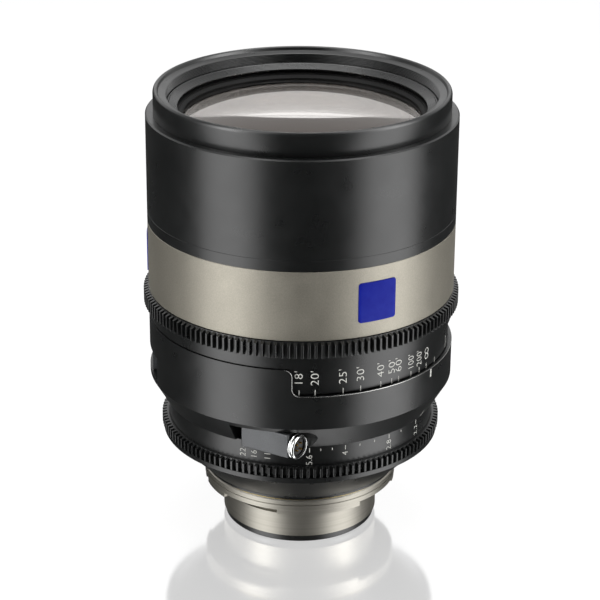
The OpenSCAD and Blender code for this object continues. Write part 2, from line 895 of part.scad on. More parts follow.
module focus_drum() {
    color("#1e1f1f")
        difference() {
            rotate_extrude()
                polygon([
                    [drum_bore_r, drum_z], [drum_r, drum_z], [drum_r, rim_z], [rim_r, rim_z],
                    [rim_r, focus_gear_z], [cam_r, focus_gear_z], [cam_r, drum_web_z],
                    [drum_bore_r, drum_web_z]]);
            ring_screw_places()
                screw_hole(screw_head_r, screw_head_h, screw_r, drum_web_h);
        }
}

module focus_ring_screws() {
    color("#8a8a88")
        ring_screw_places()
            screw(screw_head_r, screw_head_h, screw_r,
                drum_web_h - screw_head_h + ring_screw_bite);
}

module cam_tube() {
    color("#4a4038")
        difference() {
            union() {
                ring(cam_bore_r, cam_r, cam_z, cam_top);
                ring(cam_r - seat_fit, cam_flange_r, focus_gear_z, focus_gear_z + cam_flange_h);
            }
            follower_places() cam_slot();
            ring_screw_places()
                translate([0, 0, drum_web_h])
                    cylinder(r = screw_r, h = ring_screw_bite, $fn = 48);
        }
}

// Helical slot that lifts a follower as the cam tube turns with the focus ring
module cam_slot() {
    from = cam_bore_r - cut_over;
    to = cam_r + cut_over;
    for (turn = [-focus_overrun_angle, focus_turn])
        rotate([0, 0, -turn])
            translate([0, 0, follower_z + lift(turn)])
                radial_rod(follower_slot_r + run_fit, from, to);
    steps = ceil((focus_turn + focus_overrun_angle) / cam_step_angle);
    last = cam_corners * steps;
    polyhedron(
        points = [for (i = [0 : steps]) each cam_section(cam_turn(i, steps), from, to)],
        faces = concat(
            [[0, 1, 2], [0, 2, 3]],
            [for (i = [0 : steps - 1], k = [0 : cam_corners - 1], f = [0, 1]) cam_face(i, k, f)],
            [[last, last + 2, last + 1], [last, last + 3, last + 2]]));
}

function lift(turn) = focus_travel * turn / focus_turn;
function cam_turn(i, steps) = -focus_overrun_angle + (focus_turn + focus_overrun_angle) * i / steps;
function cam_section(turn, from, to) =
    let (z = follower_z + lift(turn), w = follower_slot_r, c = cos(-turn), s = sin(-turn))
    [[from * c, from * s, z - w], [to * c, to * s, z - w],
     [to * c, to * s, z + w], [from * c, from * s, z + w]];
function cam_face(i, k, f) =
    let (a = cam_corners * i + k, b = cam_corners * i + (k + 1) % cam_corners,
         c = b + cam_corners, d = a + cam_corners)
    f == 0 ? [a, c, b] : [a, d, c];

// Focusing carriage

module focus_carrier() {
    color("#3b3a36")
        difference() {
            rotate_extrude()
                polygon([
                    [carriage_bore_r - carriage_lip_w, carriage_z], [carriage_r, carriage_z],
                    [carriage_r, carriage_top], [carriage_bore_r, carriage_top],
                    [carriage_bore_r, carriage_z + carriage_lip_h],
                    [carriage_bore_r - carriage_lip_w, carriage_z + carriage_lip_h]]);
            follower_places()
                translate([0, 0, follower_z])
                    radial_rod(follower_r, carriage_r - follower_root, carriage_r + cut_over);
        }
}

module carrier_retainer() {
    bore = carriage_bore_r - carriage_lip_w;
    low = carriage_z + carriage_lip_h + 2 * focus_glass_edge + ring_gap
        + bow_rise(focus_glass_r, focus_glass_bow, bore);
    color("#222222")
        ring(bore, carriage_bore_r - cell_fit, low, low + carriage_lip_h);
}

module follower_pins() {
    color("#b0b0ac")
        follower_places()
            translate([0, 0, follower_z]) {
                radial_rod(follower_r, carriage_r - follower_root, cam_r - follower_head_h);
                radial_rod(follower_head_r, cam_r - follower_head_h, cam_r);
            }
}

module follower_rollers() {
    color("#d8d0b8")
        follower_places()
            translate([0, 0, follower_z]) {
                roller(core_bore_r + roller_side_gap, core_r - roller_side_gap);
                roller(cam_bore_r + roller_side_gap, cam_r - follower_head_h);
            }
}

module roller(from, to) {
    difference() {
        radial_rod(roller_r, from, to);
        radial_rod(follower_r + seat_fit, from - cut_over, to + cut_over);
    }
}

module focus_glass_rear() {
    z = carriage_z + carriage_lip_h;
    color("#a8b0b0", 0.5)
        glass_blank(focus_glass_r, z, z + focus_glass_edge, -focus_glass_bow, -focus_glass_bow);
}

module focus_glass_front() {
    z = carriage_z + carriage_lip_h + focus_glass_edge + ring_gap;
    color("#a8b0b0", 0.5)
        glass_blank(focus_glass_r, z, z + focus_glass_edge, focus_glass_bow, focus_glass_bow);
}

// Window housing

module window_housing() {
    color("#1a1b1b")
        difference() {
            rotate_extrude()
                polygon([
                    [core_foot_r, housing_z], [housing_foot_r, housing_z],
                    [barrel_r, housing_wall_z], [barrel_r, housing_top],
                    [scale_bore_r, housing_top], [scale_bore_r, shelf_z],
                    [housing_room_r, shelf_z],
                    [housing_room_r, housing_web_top + housing_slope_h],
                    [housing_room_r - housing_slope_w, housing_web_top],
                    [core_foot_r, housing_web_top]]);
            scale_window();
            pad_pocket();
            at_azimuth(data_azimuth) data_pocket();
        }
}

module scale_window() {
    difference() {
        at_azimuth((window_from_azimuth + window_to_azimuth) / 2)
            ring_sector(scale_bore_r - cut_over, barrel_r + cut_over, window_z,
                housing_top + cut_over, window_to_azimuth - window_from_azimuth);
        window_ends() foot_corner();
    }
    window_ends() brow_corner();
}

// Turns its children so that +Y points into the window from each of its ends
module window_ends() {
    at_azimuth(window_from_azimuth) children();
    at_azimuth(window_to_azimuth) mirror([0, 1, 0]) children();
}

// What stays in the lower corner of the window, round a circle
module foot_corner() {
    c = window_corner_r;
    bite = c * corner_bite_shares;
    rotate([90, 0, 90])
        linear_extrude(height = barrel_r + 2 * cut_over)
            difference() {
                translate([-cut_over, window_z - cut_over]) square(c + cut_over - bite);
                translate([c - bite, window_z + c - bite]) circle(r = c, $fn = 96);
            }
}

// What is cut beside the upper end of the window, round a circle
module brow_corner() {
    c = window_corner_r;
    bite = c * corner_bite_shares;
    rotate([90, 0, 90])
        linear_extrude(height = barrel_r + cut_over)
            difference() {
                translate([bite - c, housing_top + bite - c]) square(c + cut_over);
                translate([bite - c, housing_top + bite - c]) circle(r = c, $fn = 96);
            }
}

module pad_pocket() {
    reach = barrel_r - pad_floor_u + cut_over;
    at_azimuth(pad_azimuth) {
        translate([pad_floor_u, -barrel_r, pad_pocket_z])
            cube([reach, 2 * barrel_r, pad_pocket_h]);
        pad_screw_places() radial_rod(screw_r, pad_floor_u - pad_screw_bite, barrel_r);
        translate([0, 0, pad_middle()])
            radial_rod(pad_hole_r, pad_floor_u - pad_screw_bite, barrel_r);
    }
}

function pad_middle() = pad_pocket_z + pad_pocket_h / 2;

module pad_screw_places() {
    for (side = [-1, 1])
        translate([0, side * (pad_length / 2 - pad_screw_inset), pad_middle()])
            children();
}

module support_pad() {
    h = pad_pocket_h - 2 * pad_margin;
    color("#55585a")
        at_azimuth(pad_azimuth)
            difference() {
                translate([pad_floor_u, -pad_length / 2, pad_pocket_z + pad_margin])
                    cube([pad_t, pad_length, h]);
                pad_screw_places() radial_rod(screw_r, pad_floor_u - cut_over, barrel_r);
                pad_screw_places() radial_rod(screw_head_r, pad_face_u - screw_head_h, barrel_r);
                translate([0, 0, pad_middle()])
                    radial_rod(pad_hole_r, pad_floor_u - cut_over, barrel_r);
            }
}

module pad_screws() {
    color("#8a8a88")
        at_azimuth(pad_azimuth)
            pad_screw_places()
                translate([pad_face_u, 0, 0])
                    rotate([0, -90, 0])
                        screw(screw_head_r, screw_head_h, screw_r,
                            pad_t - screw_head_h + pad_screw_bite);
}

// Data block and its socket

module data_pocket() {
    translate([data_back_u, data_start - data_side_gap, housing_z - cut_over])
        cube([barrel_r, data_length + data_side_gap + data_lift,
            data_block_h + 2 * data_lift + cut_over]);
    at_socket()
        translate([0, 0, -socket_foot])
            cylinder(r = socket_r + socket_plug_gap, h = barrel_r);
}

// Turns its children so that +Z points out of the socket, from the middle of its foot
module at_socket() {
    translate([socket_u, data_end, socket_z])
        rotate([0, 0, -socket_angle])
            rotate([-90, 0, 0])
                children();
}

// Space in the block and its cover for the root of the socket
module socket_seat() {
    at_socket()
        translate([0, 0, -socket_root])
            cylinder(r = socket_root_r, h = barrel_r);
}

module data_block() {
    color("#202122")
        difference() {
            at_azimuth(data_azimuth)
                difference() {
                    translate([data_back_u, data_start, data_z])
                        cube([data_front_u - data_back_u, data_length, data_block_h]);
                    socket_seat();
                }
            cylinder(r = core_foot_r + data_core_gap, h = lens_top);
        }
}

module data_cover() {
    color("#26282a")
        at_azimuth(data_azimuth)
            difference() {
                translate([data_front_u, data_start, data_z - data_cover_drop])
                    cube([data_cover_t, data_length, data_block_h + data_cover_drop]);
                socket_seat();
            }
}

module data_board() {
    color("#1f5a3a")
        at_azimuth(board_azimuth)
            translate([core_foot_r + board_gap, -board_w / 2, housing_web_top])
                cube([board_t, board_w, board_h]);
}

module socket_shell() {
    color("#b9bab8")
        at_azimuth(data_azimuth)
            at_socket()
                rotate_extrude()
                    polygon([
                        [socket_mouth_r, -socket_root], [socket_root_r, -socket_root],
                        [socket_root_r, socket_foot], [socket_r, socket_foot],
                        [socket_r, socket_proud - socket_lip],
                        [socket_r - socket_lip, socket_proud],
                        [socket_mouth_r, socket_proud]]);
}

module socket_insert() {
    color("#101010")
        at_azimuth(data_azimuth)
            at_socket()
                translate([0, 0, -socket_root])
                    cylinder(r = socket_mouth_r, h = socket_root + socket_proud - socket_recess);
}

module socket_pins() {
    color("#c9a653")
        at_azimuth(data_azimuth)
            at_socket()
                for (i = [0 : socket_pin_count - 1])
                    rotate([0, 0, (i + 1 / 2) * 360 / socket_pin_count])
                        translate([socket_pin_circle, 0, socket_proud - socket_recess])
                            cylinder(r = socket_pin_r, h = socket_pin_h, $fn = 24);
}

// Iris ring

module iris_ring() {
    color("#1e1f1f")
        difference() {
            rotate_extrude()
                polygon([
                    [iris_bore_r, iris_z], [iris_flange_r, iris_z], [iris_flange_r, iris_gear_z],
                    [iris_skirt_r, iris_gear_z], [iris_skirt_r, iris_top], [iris_bore_r, iris_top]]);
            ring_pin_rods();
        }
}

module iris_gear() {
    color("#151515")
        gear_body(iris_teeth, iris_gear_root, iris_skirt_r, iris_gear_z, iris_gear_h);
}

module ring_pin_rods() {
    for (i = [0 : ring_pin_count - 1])
        rotate([0, 0, ring_pin_angle + i * 360 / ring_pin_count])
            translate([0, 0, ring_pin_z])
                radial_rod(ring_pin_r, rotor_r - ring_pin_bite,
                    iris_bore_r + iris_ring_wall * ring_pin_root_shares);
}

module iris_drive_pins() {
    color("#b0b0ac") ring_pin_rods();
}

// Iris unit

module iris_rotor() {
    color("#5a5048")
        difference() {
            ring(rotor_bore_r, rotor_r, rotor_z, rotor_top);
            for (i = [0 : iris_blade_count - 1])
                rotate([0, 0, i * 360 / iris_blade_count])
                    drive_slot();
            ring_pin_rods();
        }
}

// Curved slot that swings a blade's crank as the rotor turns
module drive_slot() {
    translate([0, 0, rotor_z - cut_over])
        linear_extrude(height = rotor_h + 2 * cut_over) {
            polygon(concat(slot_side(1), reversed(slot_side(-1))));
            for (turn = [0, blade_turn])
                translate(slot_point(turn))
                    circle(r = drive_slot_r, $fn = 24);
        }
}

module iris_plate() {
    color("#2a2a2a")
        difference() {
            ring(iris_opening_r, iris_room_r, iris_sill_z, iris_plate_top);
            for (i = [0 : iris_blade_count - 1])
                rotate([0, 0, i * 360 / iris_blade_count])
                    translate([blade_pivot_r, 0, iris_sill_z + pivot_floor])
                        cylinder(r = pivot_pin_r + run_fit, h = iris_plate_h, $fn = 32);
        }
}

module iris_cover() {
    color("#2a2a2a")
        ring(iris_opening_r, iris_room_r, iris_cover_z, iris_cover_z + iris_cover_h);
}

module iris_blade(i) {
    z = blade_z + (i - 1) * blade_pitch;
    color("#3f4042")
        rotate([0, 0, (i - 1) * 360 / iris_blade_count]) {
            translate([0, 0, z])
                linear_extrude(height = blade_t)
                    blade_outline();
            translate([blade_pivot_r, 0, pivot_z])
                cylinder(r = pivot_pin_r, h = z - pivot_z, $fn = 32);
            translate([crank_x(0), crank_y(0), z + blade_t])
                cylinder(r = drive_pin_r, h = rotor_top - ring_gap - z - blade_t, $fn = 32);
        }
}

// A crescent along the open iris, with its pivot and its crank outside it
module blade_outline() {
    middle = (iris_open_r + blade_outer_r) / 2;
    tip = [middle * cos(blade_span), middle * sin(blade_span)];
    root = [blade_pivot_r, 0];
    pin = [crank_x(0), crank_y(0)];
    side = [-pin[1], pin[0] - blade_pivot_r] / blade_arm * blade_arm_w / 2;
    difference() {
        intersection() {
            circle(r = blade_outer_r);
            polygon([
                [0, 0], 2 * middle * [cos(blade_root_angle), -sin(blade_root_angle)],
                2 * middle * [1, 1], 2 * middle * [-1, 1], 2 * middle * [-1, 0],
                2 * tip]);
        }
        circle(r = iris_open_r);
    }
    translate(tip) circle(r = blade_width / 2, $fn = 48);
    translate(root) circle(r = blade_root_r, $fn = 32);
    translate(pin) circle(r = blade_arm_w / 2, $fn = 32);
    polygon([root + side, pin + side, pin - side, root - side]);
    polygon([
        root + [0, blade_root_r], root - [0, blade_root_r],
        [blade_outer_r - blade_root_r, -blade_root_r], [blade_outer_r - blade_root_r, blade_root_r]]);
}

// Rear of the lens

module rear_cone() {
    seat = cone_z + cone_seat_h;
    foot = cone_top - core_foot_h;
    web_z = foot - cone_web_h;
    slope = (rear_cone_top_r - flange_r) / (rear_cone_h - cone_rim_h - cone_foot_h);
    web_r = flange_r + slope * (web_z - cone_z - cone_foot_h) - cone_wall;
    color("#141515")
        difference() {
            rotate_extrude()
                polygon([
                    [mount_bore_r + seat_fit, cone_z], [flange_r, cone_z],
                    [flange_r, cone_z + cone_foot_h],
                    [rear_cone_top_r, cone_top - cone_rim_h], [rear_cone_top_r, cone_top],
                    [core_foot_r, cone_top], [core_foot_r, foot], [web_r, foot],
                    [web_r, web_z], [mount_bore_r + cone_seat_w, seat],
                    [mount_bore_r + seat_fit, seat]]);
            mount_screw_places()
                cylinder(r = screw_r, h = flange_h + shim_t + mount_screw_bite, $fn = 48);
        }
}

module mount_shim() {
    color("#b09a5a")
        difference() {
            ring(mount_bore_r + mount_wall / 2, flange_r - edge_bevel, shim_z, cone_z);
            mount_screw_places()
                cylinder(r = screw_r, h = flange_h + shim_t + cut_over, $fn = 48);
        }
}

module mount_screw_places() {
    for (i = [0 : lug_count - 1], side = [-1, 1])
        at_azimuth(lug_azimuth + (i + 1 / 2) * 360 / lug_count + side * mount_screw_angle)
            translate([mount_screw_r, 0, flange_z])
                children();
}

module lens_mount() {
    slit_top = lug_z - slit_drop;
    color("#a9a59c")
        difference() {
            union() {
                rotate_extrude()
                    polygon([
                        [mount_bore_r, guard_top], [mount_r, guard_top],
                        [mount_r, lug_z], [mount_r - neck_step, lug_z],
                        [mount_r - neck_step, flange_z], [flange_r - edge_bevel, flange_z],
                        [flange_r, flange_z + edge_bevel],
                        [flange_r, flange_z + flange_h / 2],
                        [flange_r - flange_line_depth, flange_z + flange_h / 2],
                        [flange_r - flange_line_depth, flange_z + flange_h / 2 + flange_line_w],
                        [flange_r, flange_z + flange_h / 2 + flange_line_w],
                        [flange_r, shim_z - edge_bevel], [flange_r - edge_bevel, shim_z],
                        [mount_bore_r, shim_z]]);
                for (i = [0 : lug_count - 1])
                    at_azimuth(lug_azimuth + i * 360 / lug_count)
                        ring_sector(mount_r - lug_bite, lug_r, lug_z, flange_z + edge_bevel,
                            lug_span);
            }
            at_azimuth(slit_azimuth)
                ring_sector(mount_r - slit_depth, mount_r + cut_over, slit_top - slit_h,
                    slit_top, slit_span);
            at_azimuth(lug_azimuth - 360 / lug_count)
                translate([lug_r - lug_notch_depth, -lug_notch_w / 2, lug_z - cut_over])
                    cube([flange_r, lug_notch_w, lug_h + cut_over]);
            mount_screw_places()
                screw_hole(screw_head_r, screw_head_h, screw_r, flange_h);
        }
}

module mount_screws() {
    color("#8a8a88")
        mount_screw_places()
            screw(screw_head_r, screw_head_h, screw_r,
                flange_h + shim_t - screw_head_h + mount_screw_bite);
}

module rear_guard() {
    r = rear_guard_r;
    spigot = mount_bore_r - run_fit;
    color("#101010")
        rotate_extrude()
            polygon([
                [r - guard_wall, 0], [r - edge_bevel, 0], [r, edge_bevel], [r, guard_top],
                [spigot, guard_top], [spigot, guard_top + guard_spigot_h],
                [spigot - guard_spigot_wall, guard_top + guard_spigot_h],
                [spigot - guard_spigot_wall, guard_top], [r - guard_wall, guard_top]]);
}

module rear_cell() {
    low_bore = last_glass_r + cell_fit;
    high_bore = rear_glass_r + cell_fit;
    waist = low_bore - rear_cell_wall;
    seat = rear_seat_z;
    color("#161616")
        rotate_extrude()
            polygon([
                [low_bore, rear_cell_z], [rear_cell_r, rear_cell_z], [rear_cell_r, seat],
                [rear_cell_r + cone_seat_w, seat], [rear_cell_r + cone_seat_w,
                seat + rear_cell_flange_h], [rear_cell_r, seat + rear_cell_flange_h],
                [rear_cell_r, rear_cell_top], [high_bore, rear_cell_top],
                [high_bore, rear_glass_z()], [waist, rear_glass_z()],
                [waist, last_glass_z() + rear_glass_edge],
                [low_bore, last_glass_z() + rear_glass_edge]]);
}

function rear_glass_z() = rear_cell_top - rear_retainer_h - rear_glass_edge;
function last_glass_z() = rear_cell_z + rear_retainer_h;

module rear_glass() {
    z = rear_glass_z();
    color("#a8b0b0", 0.5)
        glass_blank(rear_glass_r, z, z + rear_glass_edge, -rear_glass_bow, rear_glass_bow);
}

module last_glass() {
    z = last_glass_z();
    color("#a8b0b0", 0.5)
        glass_blank(last_glass_r, z, z + rear_glass_edge, -rear_glass_bow, -rear_glass_bow);
}

module rear_retainers() {
    bore = rear_glass_r - rear_retainer_w;
    rise = bow_rise(rear_glass_r, rear_glass_bow, bore);
    color("#222222") {
        ring(last_glass_r - rear_retainer_w, last_glass_r, rear_cell_z, last_glass_z());
        ring(bore, rear_glass_r, rear_cell_top - rear_retainer_h + rise, rear_cell_top + rise);
    }
}

front_ring();
front_baffle();
front_retainer();
front_barrel();
band_collar();
name_band();
band_tiles();
barrel_screws();
front_cell();
front_glass();
second_glass();
third_glass();
glass_spacers();
core_tube();
cam_ring();
cam_bushes();
focus_gear();
focus_drum();
cam_tube();
focus_ring_screws();
focus_carrier();
carrier_retainer();
follower_pins();
follower_rollers();
focus_glass_front();
focus_glass_rear();
window_housing();
support_pad();
pad_screws();
data_block();
data_cover();
data_board();
socket_shell();
socket_insert();
socket_pins();
iris_ring();
iris_gear();
iris_drive_pins();
iris_rotor();
iris_plate();
iris_cover();
rear_cone();
rear_cell();
rear_glass();
last_glass();
rear_retainers();
mount_shim();
lens_mount();
mount_screws();
rear_guard();
for (i = [1 : iris_blade_count])
    iris_blade(i);
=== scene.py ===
# %% [markdown]
# # Dressing a cinema lens
#
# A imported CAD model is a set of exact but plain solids. This lesson gives them the
# look of the real thing: a large black lens that stands on its rear ring with the
# front glass up. The solids stay where they are. Those whose shape is right only get
# a better material, and those that need threads, teeth, marks or a polished curve get
# a new piece that takes up the same room.

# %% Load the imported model
import json
import math
import bmesh
import bpy
from mathutils import Matrix, Vector

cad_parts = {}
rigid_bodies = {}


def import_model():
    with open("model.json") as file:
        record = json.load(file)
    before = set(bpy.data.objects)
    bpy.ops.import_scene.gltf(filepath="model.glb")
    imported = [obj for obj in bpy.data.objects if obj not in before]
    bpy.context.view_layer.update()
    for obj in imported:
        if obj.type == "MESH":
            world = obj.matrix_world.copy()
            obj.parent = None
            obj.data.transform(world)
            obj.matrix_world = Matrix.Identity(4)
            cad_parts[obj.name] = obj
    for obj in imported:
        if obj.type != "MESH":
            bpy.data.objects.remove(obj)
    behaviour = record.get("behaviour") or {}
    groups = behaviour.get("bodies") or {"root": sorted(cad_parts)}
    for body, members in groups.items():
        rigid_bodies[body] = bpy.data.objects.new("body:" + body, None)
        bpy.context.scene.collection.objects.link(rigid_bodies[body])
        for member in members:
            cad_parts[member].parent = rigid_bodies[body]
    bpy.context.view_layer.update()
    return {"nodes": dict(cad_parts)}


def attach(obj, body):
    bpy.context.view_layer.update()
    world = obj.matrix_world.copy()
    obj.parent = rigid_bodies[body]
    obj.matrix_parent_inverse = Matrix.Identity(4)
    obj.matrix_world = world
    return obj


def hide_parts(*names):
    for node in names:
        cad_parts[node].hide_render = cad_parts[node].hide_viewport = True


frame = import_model()
nodes = frame["nodes"]

# %% [markdown]
# ## Working in millimetres
#
# The scene is in metres, but a lens maker thinks in millimetres, so lengths are
# written in millimetres and multiplied by one constant. Azimuths start at the front
# of the lens, at -Y, and grow towards +X.

# %% Places on the lens
MM = 0.001


def around(azimuth, radius, height):
    """The point, in metres, at an azimuth in degrees and a radius and height in mm."""
    turn = math.radians(azimuth - 90)
    return (radius * math.cos(turn) * MM, radius * math.sin(turn) * MM, height * MM)


print("front of the barrel:", around(0, 60, 150))

# %% [markdown]
# ## Picking what an operator works on
#
# An edit-mode operator acts on whatever is selected. By hand you would click; here a
# small test on each face and its place does the clicking.

# %% Selection helpers
def select_only(*pieces):
    """Leaves edit mode and selects these objects alone, the first one active."""
    if bpy.context.object and bpy.context.object.mode != "OBJECT":
        bpy.ops.object.mode_set(mode="OBJECT")
    bpy.ops.object.select_all(action="DESELECT")
    for piece in pieces:
        piece.select_set(True)
    bpy.context.view_layer.objects.active = pieces[0] if pieces else None


def pick(piece, test):
    """In edit mode, selects the faces that pass the test and counts them.

    The test is given a face and the middle of it in millimetres.
    """
    bpy.ops.mesh.select_mode(type="FACE")
    bpy.ops.mesh.select_all(action="DESELECT")
    mesh = bmesh.from_edit_mesh(piece.data)
    found = [face for face in mesh.faces if test(face, face.calc_center_median() / MM)]
    for face in found:
        face.select = True
    mesh.select_flush_mode()
    bmesh.update_edit_mesh(piece.data)
    return len(found)


def merge_all():
    """In edit mode, selects everything and merges vertices that lie on one another."""
    bpy.ops.mesh.select_mode(type="VERT")
    bpy.ops.mesh.select_all(action="SELECT")
    bpy.ops.mesh.remove_doubles(threshold=0.001 * MM)


def close_up(piece, smooth=30):
    """Merges doubled vertices, points every face outwards and smooths all but the sharp edges."""
    merge_all()
    bpy.ops.mesh.normals_make_consistent(inside=False)
    bpy.ops.object.mode_set(mode="OBJECT")
    bpy.ops.object.shade_smooth_by_angle(angle=math.radians(smooth))
    return piece


# %% [markdown]
# ## Turning a ring
#
# Nearly every part of a lens comes off a lathe. A lathe part is one outline swept
# round an axis, so the outline is drawn point by point with extrude, as a wire, and
# then spun. `soften` rounds its corners first, as a deburring cut does: no machined
# edge is truly sharp, and it is the tiny round that catches the light.

# %% The lathe
def drawn(name, points):
    """In edit mode, a wire through these points, each in millimetres."""
    select_only()
    bpy.ops.mesh.primitive_plane_add(size=MM)
    piece = bpy.context.object
    piece.name = piece.data.name = name
    bpy.ops.object.mode_set(mode="EDIT")
    bpy.ops.mesh.select_mode(type="VERT")
    bpy.ops.mesh.select_all(action="SELECT")
    bpy.ops.mesh.merge(type="CENTER")
    here = Vector((0, 0, 0))
    for step, point in enumerate(points):
        move = (Vector(point) - here) * MM
        if step == 0:
            bpy.ops.transform.translate(value=move)
        else:
            bpy.ops.mesh.extrude_region_move(TRANSFORM_OT_translate={"value": move})
        here = Vector(point)
    return piece


def turned(name, outline, soften=0, steps=192, smooth=30):
    """A ring whose section is the closed outline of (radius, height) points in millimetres."""
    piece = drawn(name, [(radius, 0, height) for radius, height in [*outline, outline[0]]])
    merge_all()
    if soften:
        bpy.ops.mesh.bevel(offset=soften * MM, segments=2, affect="VERTICES")
    bpy.ops.mesh.select_all(action="SELECT")
    bpy.ops.mesh.spin(steps=steps, angle=2 * math.pi, center=(0, 0, 0), axis=(0, 0, 1))
    close_up(piece, smooth)
    print(name, len(piece.data.polygons), "faces")
    return piece


# %% [markdown]
# ## Colour and nodes
#
# Colours are written as a screen shows them, in hex, and one function turns them to
# the linear light that the renderer mixes. One more function adds a shader node with
# its settings and its links, so that a material reads as a short list.

# %% Material helpers
def colour(code):
    """Linear red, green, blue and alpha of an sRGB hex colour."""
    parts = [int(code[i:i + 2], 16) / 255 for i in (1, 3, 5)]
    return tuple(c / 12.92 if c <= 0.04045 else ((c + 0.055) / 1.055) ** 2.4 for c in parts) + (1,)


def material(name):
    """An empty node material."""
    made = bpy.data.materials.new(name)
    made.use_nodes = True
    made.node_tree.nodes.clear()
    return made


def add(made, kind, inputs, **settings):
    """Adds one shader node. An input is a value, or another node's output to link."""
    node = made.node_tree.nodes.new("ShaderNode" + kind)
    for name, value in settings.items():
        setattr(node, name, value)
    for name, value in inputs.items():
        if isinstance(value, bpy.types.NodeSocket):
            made.node_tree.links.new(value, node.inputs[name])
        else:
            node.inputs[name].default_value = value
    return node


def surface(made, **inputs):
    """Ends a material with a Principled surface; an input's name has underscores for spaces."""
    values = {key.replace("_", " "): value for key, value in inputs.items()}
    shader = add(made, "BsdfPrincipled", values)
    add(made, "OutputMaterial", {"Surface": shader.outputs[0]})
    return made


# %% [markdown]
# ## Two patterns that most finishes share
#
# Bead blasting leaves pits about 0.1 mm wide before the black dye goes on. Drawn at
# that size they would vanish, so the grain here is 0.35 mm. A turning tool leaves
# fine rings about 0.1 mm apart instead, drawn at 0.3 mm. A ring pattern must depend
# on the distance from the axis and on the height alone, so it reads a point made of
# those two numbers. No finish is equally rough all over, so every roughness swings a
# little about its middle.

# %% Grain and turning lines
GRAIN, TURNING_LINES, SWING = 0.35, 0.3, 0.03


def object_place(made):
    """Where the shaded point is, in metres, on the piece itself."""
    return add(made, "TexCoord", {}).outputs["Object"]


def lathe_place(made):
    """Distance from the axis and height of the shaded point."""
    place = object_place(made)
    flat = add(made, "VectorMath", {0: place, 1: (1, 1, 0)}, operation="MULTIPLY").outputs[0]
    radius = add(made, "VectorMath", {0: flat}, operation="LENGTH").outputs["Value"]
    height = add(made, "SeparateXYZ", {0: place}).outputs["Z"]
    return add(made, "CombineXYZ", {"X": radius, "Z": height}).outputs[0]


def noise(made, place, size, detail=2.0):
    """Soft random values whose lumps are about this many millimetres wide."""
    lumps = {"Vector": place, "Scale": 1 / (size * MM), "Detail": detail}
    return add(made, "TexNoise", lumps).outputs[0]


def spread(made, value, low, high):
    """A random value from about 0.3 to 0.7, stretched to run from low to high."""
    return add(made, "MapRange", {0: value, 1: 0.3, 2: 0.7, 3: low, 4: high}).outputs[0]


def blend(made, value, first, second):
    """A colour between two, as the value goes from about 0.3 to 0.7."""
    ramp = add(made, "ValToRGB", {"Fac": value})
    low, high = ramp.color_ramp.elements
    low.position, high.position = 0.3, 0.7
    low.color, high.color = colour(first), colour(second)
    return ramp.outputs[0]


def uneven(made, value, rough):
    """A roughness that swings a little about its middle."""
    return spread(made, value, rough - SWING, rough + SWING)


def relief(made, value, depth):
    """Bumps of this depth in millimetres."""
    return add(made, "Bump", {"Height": value, "Distance": depth * MM, "Strength": 1.0}).outputs[0]


# %% [markdown]
# ## Black anodised aluminium
#
# The barrel, the rings and the cones are aluminium that is blasted with fine beads
# and then anodised and dyed black. The oxide skin is nearly black but slightly
# glossy, so it reads as a dark surface with broad, dull streaks of light. A dark base
# with a weak reflection gives that, and a faint cloudiness keeps it from looking like
# plastic. The gear teeth are hard-anodised, which leaves them a shade lighter, and the
# parts inside are painted with matt black that swallows stray light. The iris blades
# are blued steel, which is made the same way in a blue grey.

# %% Black finishes
def black_anodised(name, dark, light, rough, depth=0.006, shine=0.5):
    """Blasted aluminium with a dyed oxide skin: nearly black, with a broad dull highlight."""
    made = material(name)
    place = object_place(made)
    cloud = noise(made, place, 24)
    return surface(
        made, Base_Color=blend(made, cloud, dark, light),
        Roughness=uneven(made, noise(made, place, 9), rough),
        Specular_IOR_Level=shine, Normal=relief(made, noise(made, place, GRAIN), depth))


outer_black = black_anodised("blasted_black_anodised_aluminium", "#0d0e0e", "#131414", 0.3)
gear_black = black_anodised("hard_anodised_gear_teeth", "#101111", "#161717", 0.3)
# The same matt black also lines the bore of the data socket's shell, where it is painted shade.
inner_black_and_bore_shade = black_anodised("matt_black_inner_paint_and_bore_shade", "#0a0a0a", "#0f0f0f", 0.55, shine=0.15)
baffle_black = black_anodised("fine_black_anodised_baffle", "#0d0e0e", "#121313", 0.28, depth=0.003)
blade_black = black_anodised("blued_blade_steel", "#202226", "#2a2c30", 0.45)
print("black finishes:", outer_black.name, gear_black.name, inner_black_and_bore_shade.name)


# %% [markdown]
# ## Metals fresh from the lathe
#
# The mount is brass that is turned, brushed and plated with satin nickel. Turning
# leaves rings that stretch each highlight along the cut, so the roughness and the
# relief follow the ring pattern. Screws, bushes, shims and contacts are small, and
# differ in colour and polish alone.

# %% Turned metals
def turned_metal(name, dark, light, rough):
    """Metal fresh from the lathe: its rings streak the highlight along the cut."""
    made = material(name)
    place = lathe_place(made)
    streaks = noise(made, place, TURNING_LINES)
    return surface(
        made, Base_Color=blend(made, noise(made, place, 1.1), dark, light), Metallic=1.0,
        Roughness=uneven(made, streaks, rough), Normal=relief(made, streaks, 0.002))


mount_nickel = turned_metal("satin_nickel_plated_brass", "#86837b", "#908d85", 0.42)
screw_steel = turned_metal("stainless_screw_steel", "#8e8e8c", "#a2a2a0", 0.28)
shell_chrome = turned_metal("chrome_plated_socket", "#c4c5c4", "#d4d5d4", 0.14)
bare_aluminium = turned_metal("machined_aluminium", "#8f8a82", "#9d9890", 0.35)
bush_bronze = turned_metal("sintered_bronze", "#8a6434", "#9a7444", 0.38)
shim_brass = turned_metal("rolled_shim_brass", "#a8924e", "#b8a260", 0.3)
contact_gold = turned_metal("gold_plated_pins", "#c49a42", "#d8b060", 0.2)
# A bright metal for the bead along the window's edge: a painted highlight in place of the light on
# the edge's bevel.
lip_highlight_metal = turned_metal("window_lip_painted_highlight", "#9a9a98", "#a6a6a4", 0.22)
print("metals:", mount_nickel.name, "and", bush_bronze.name)


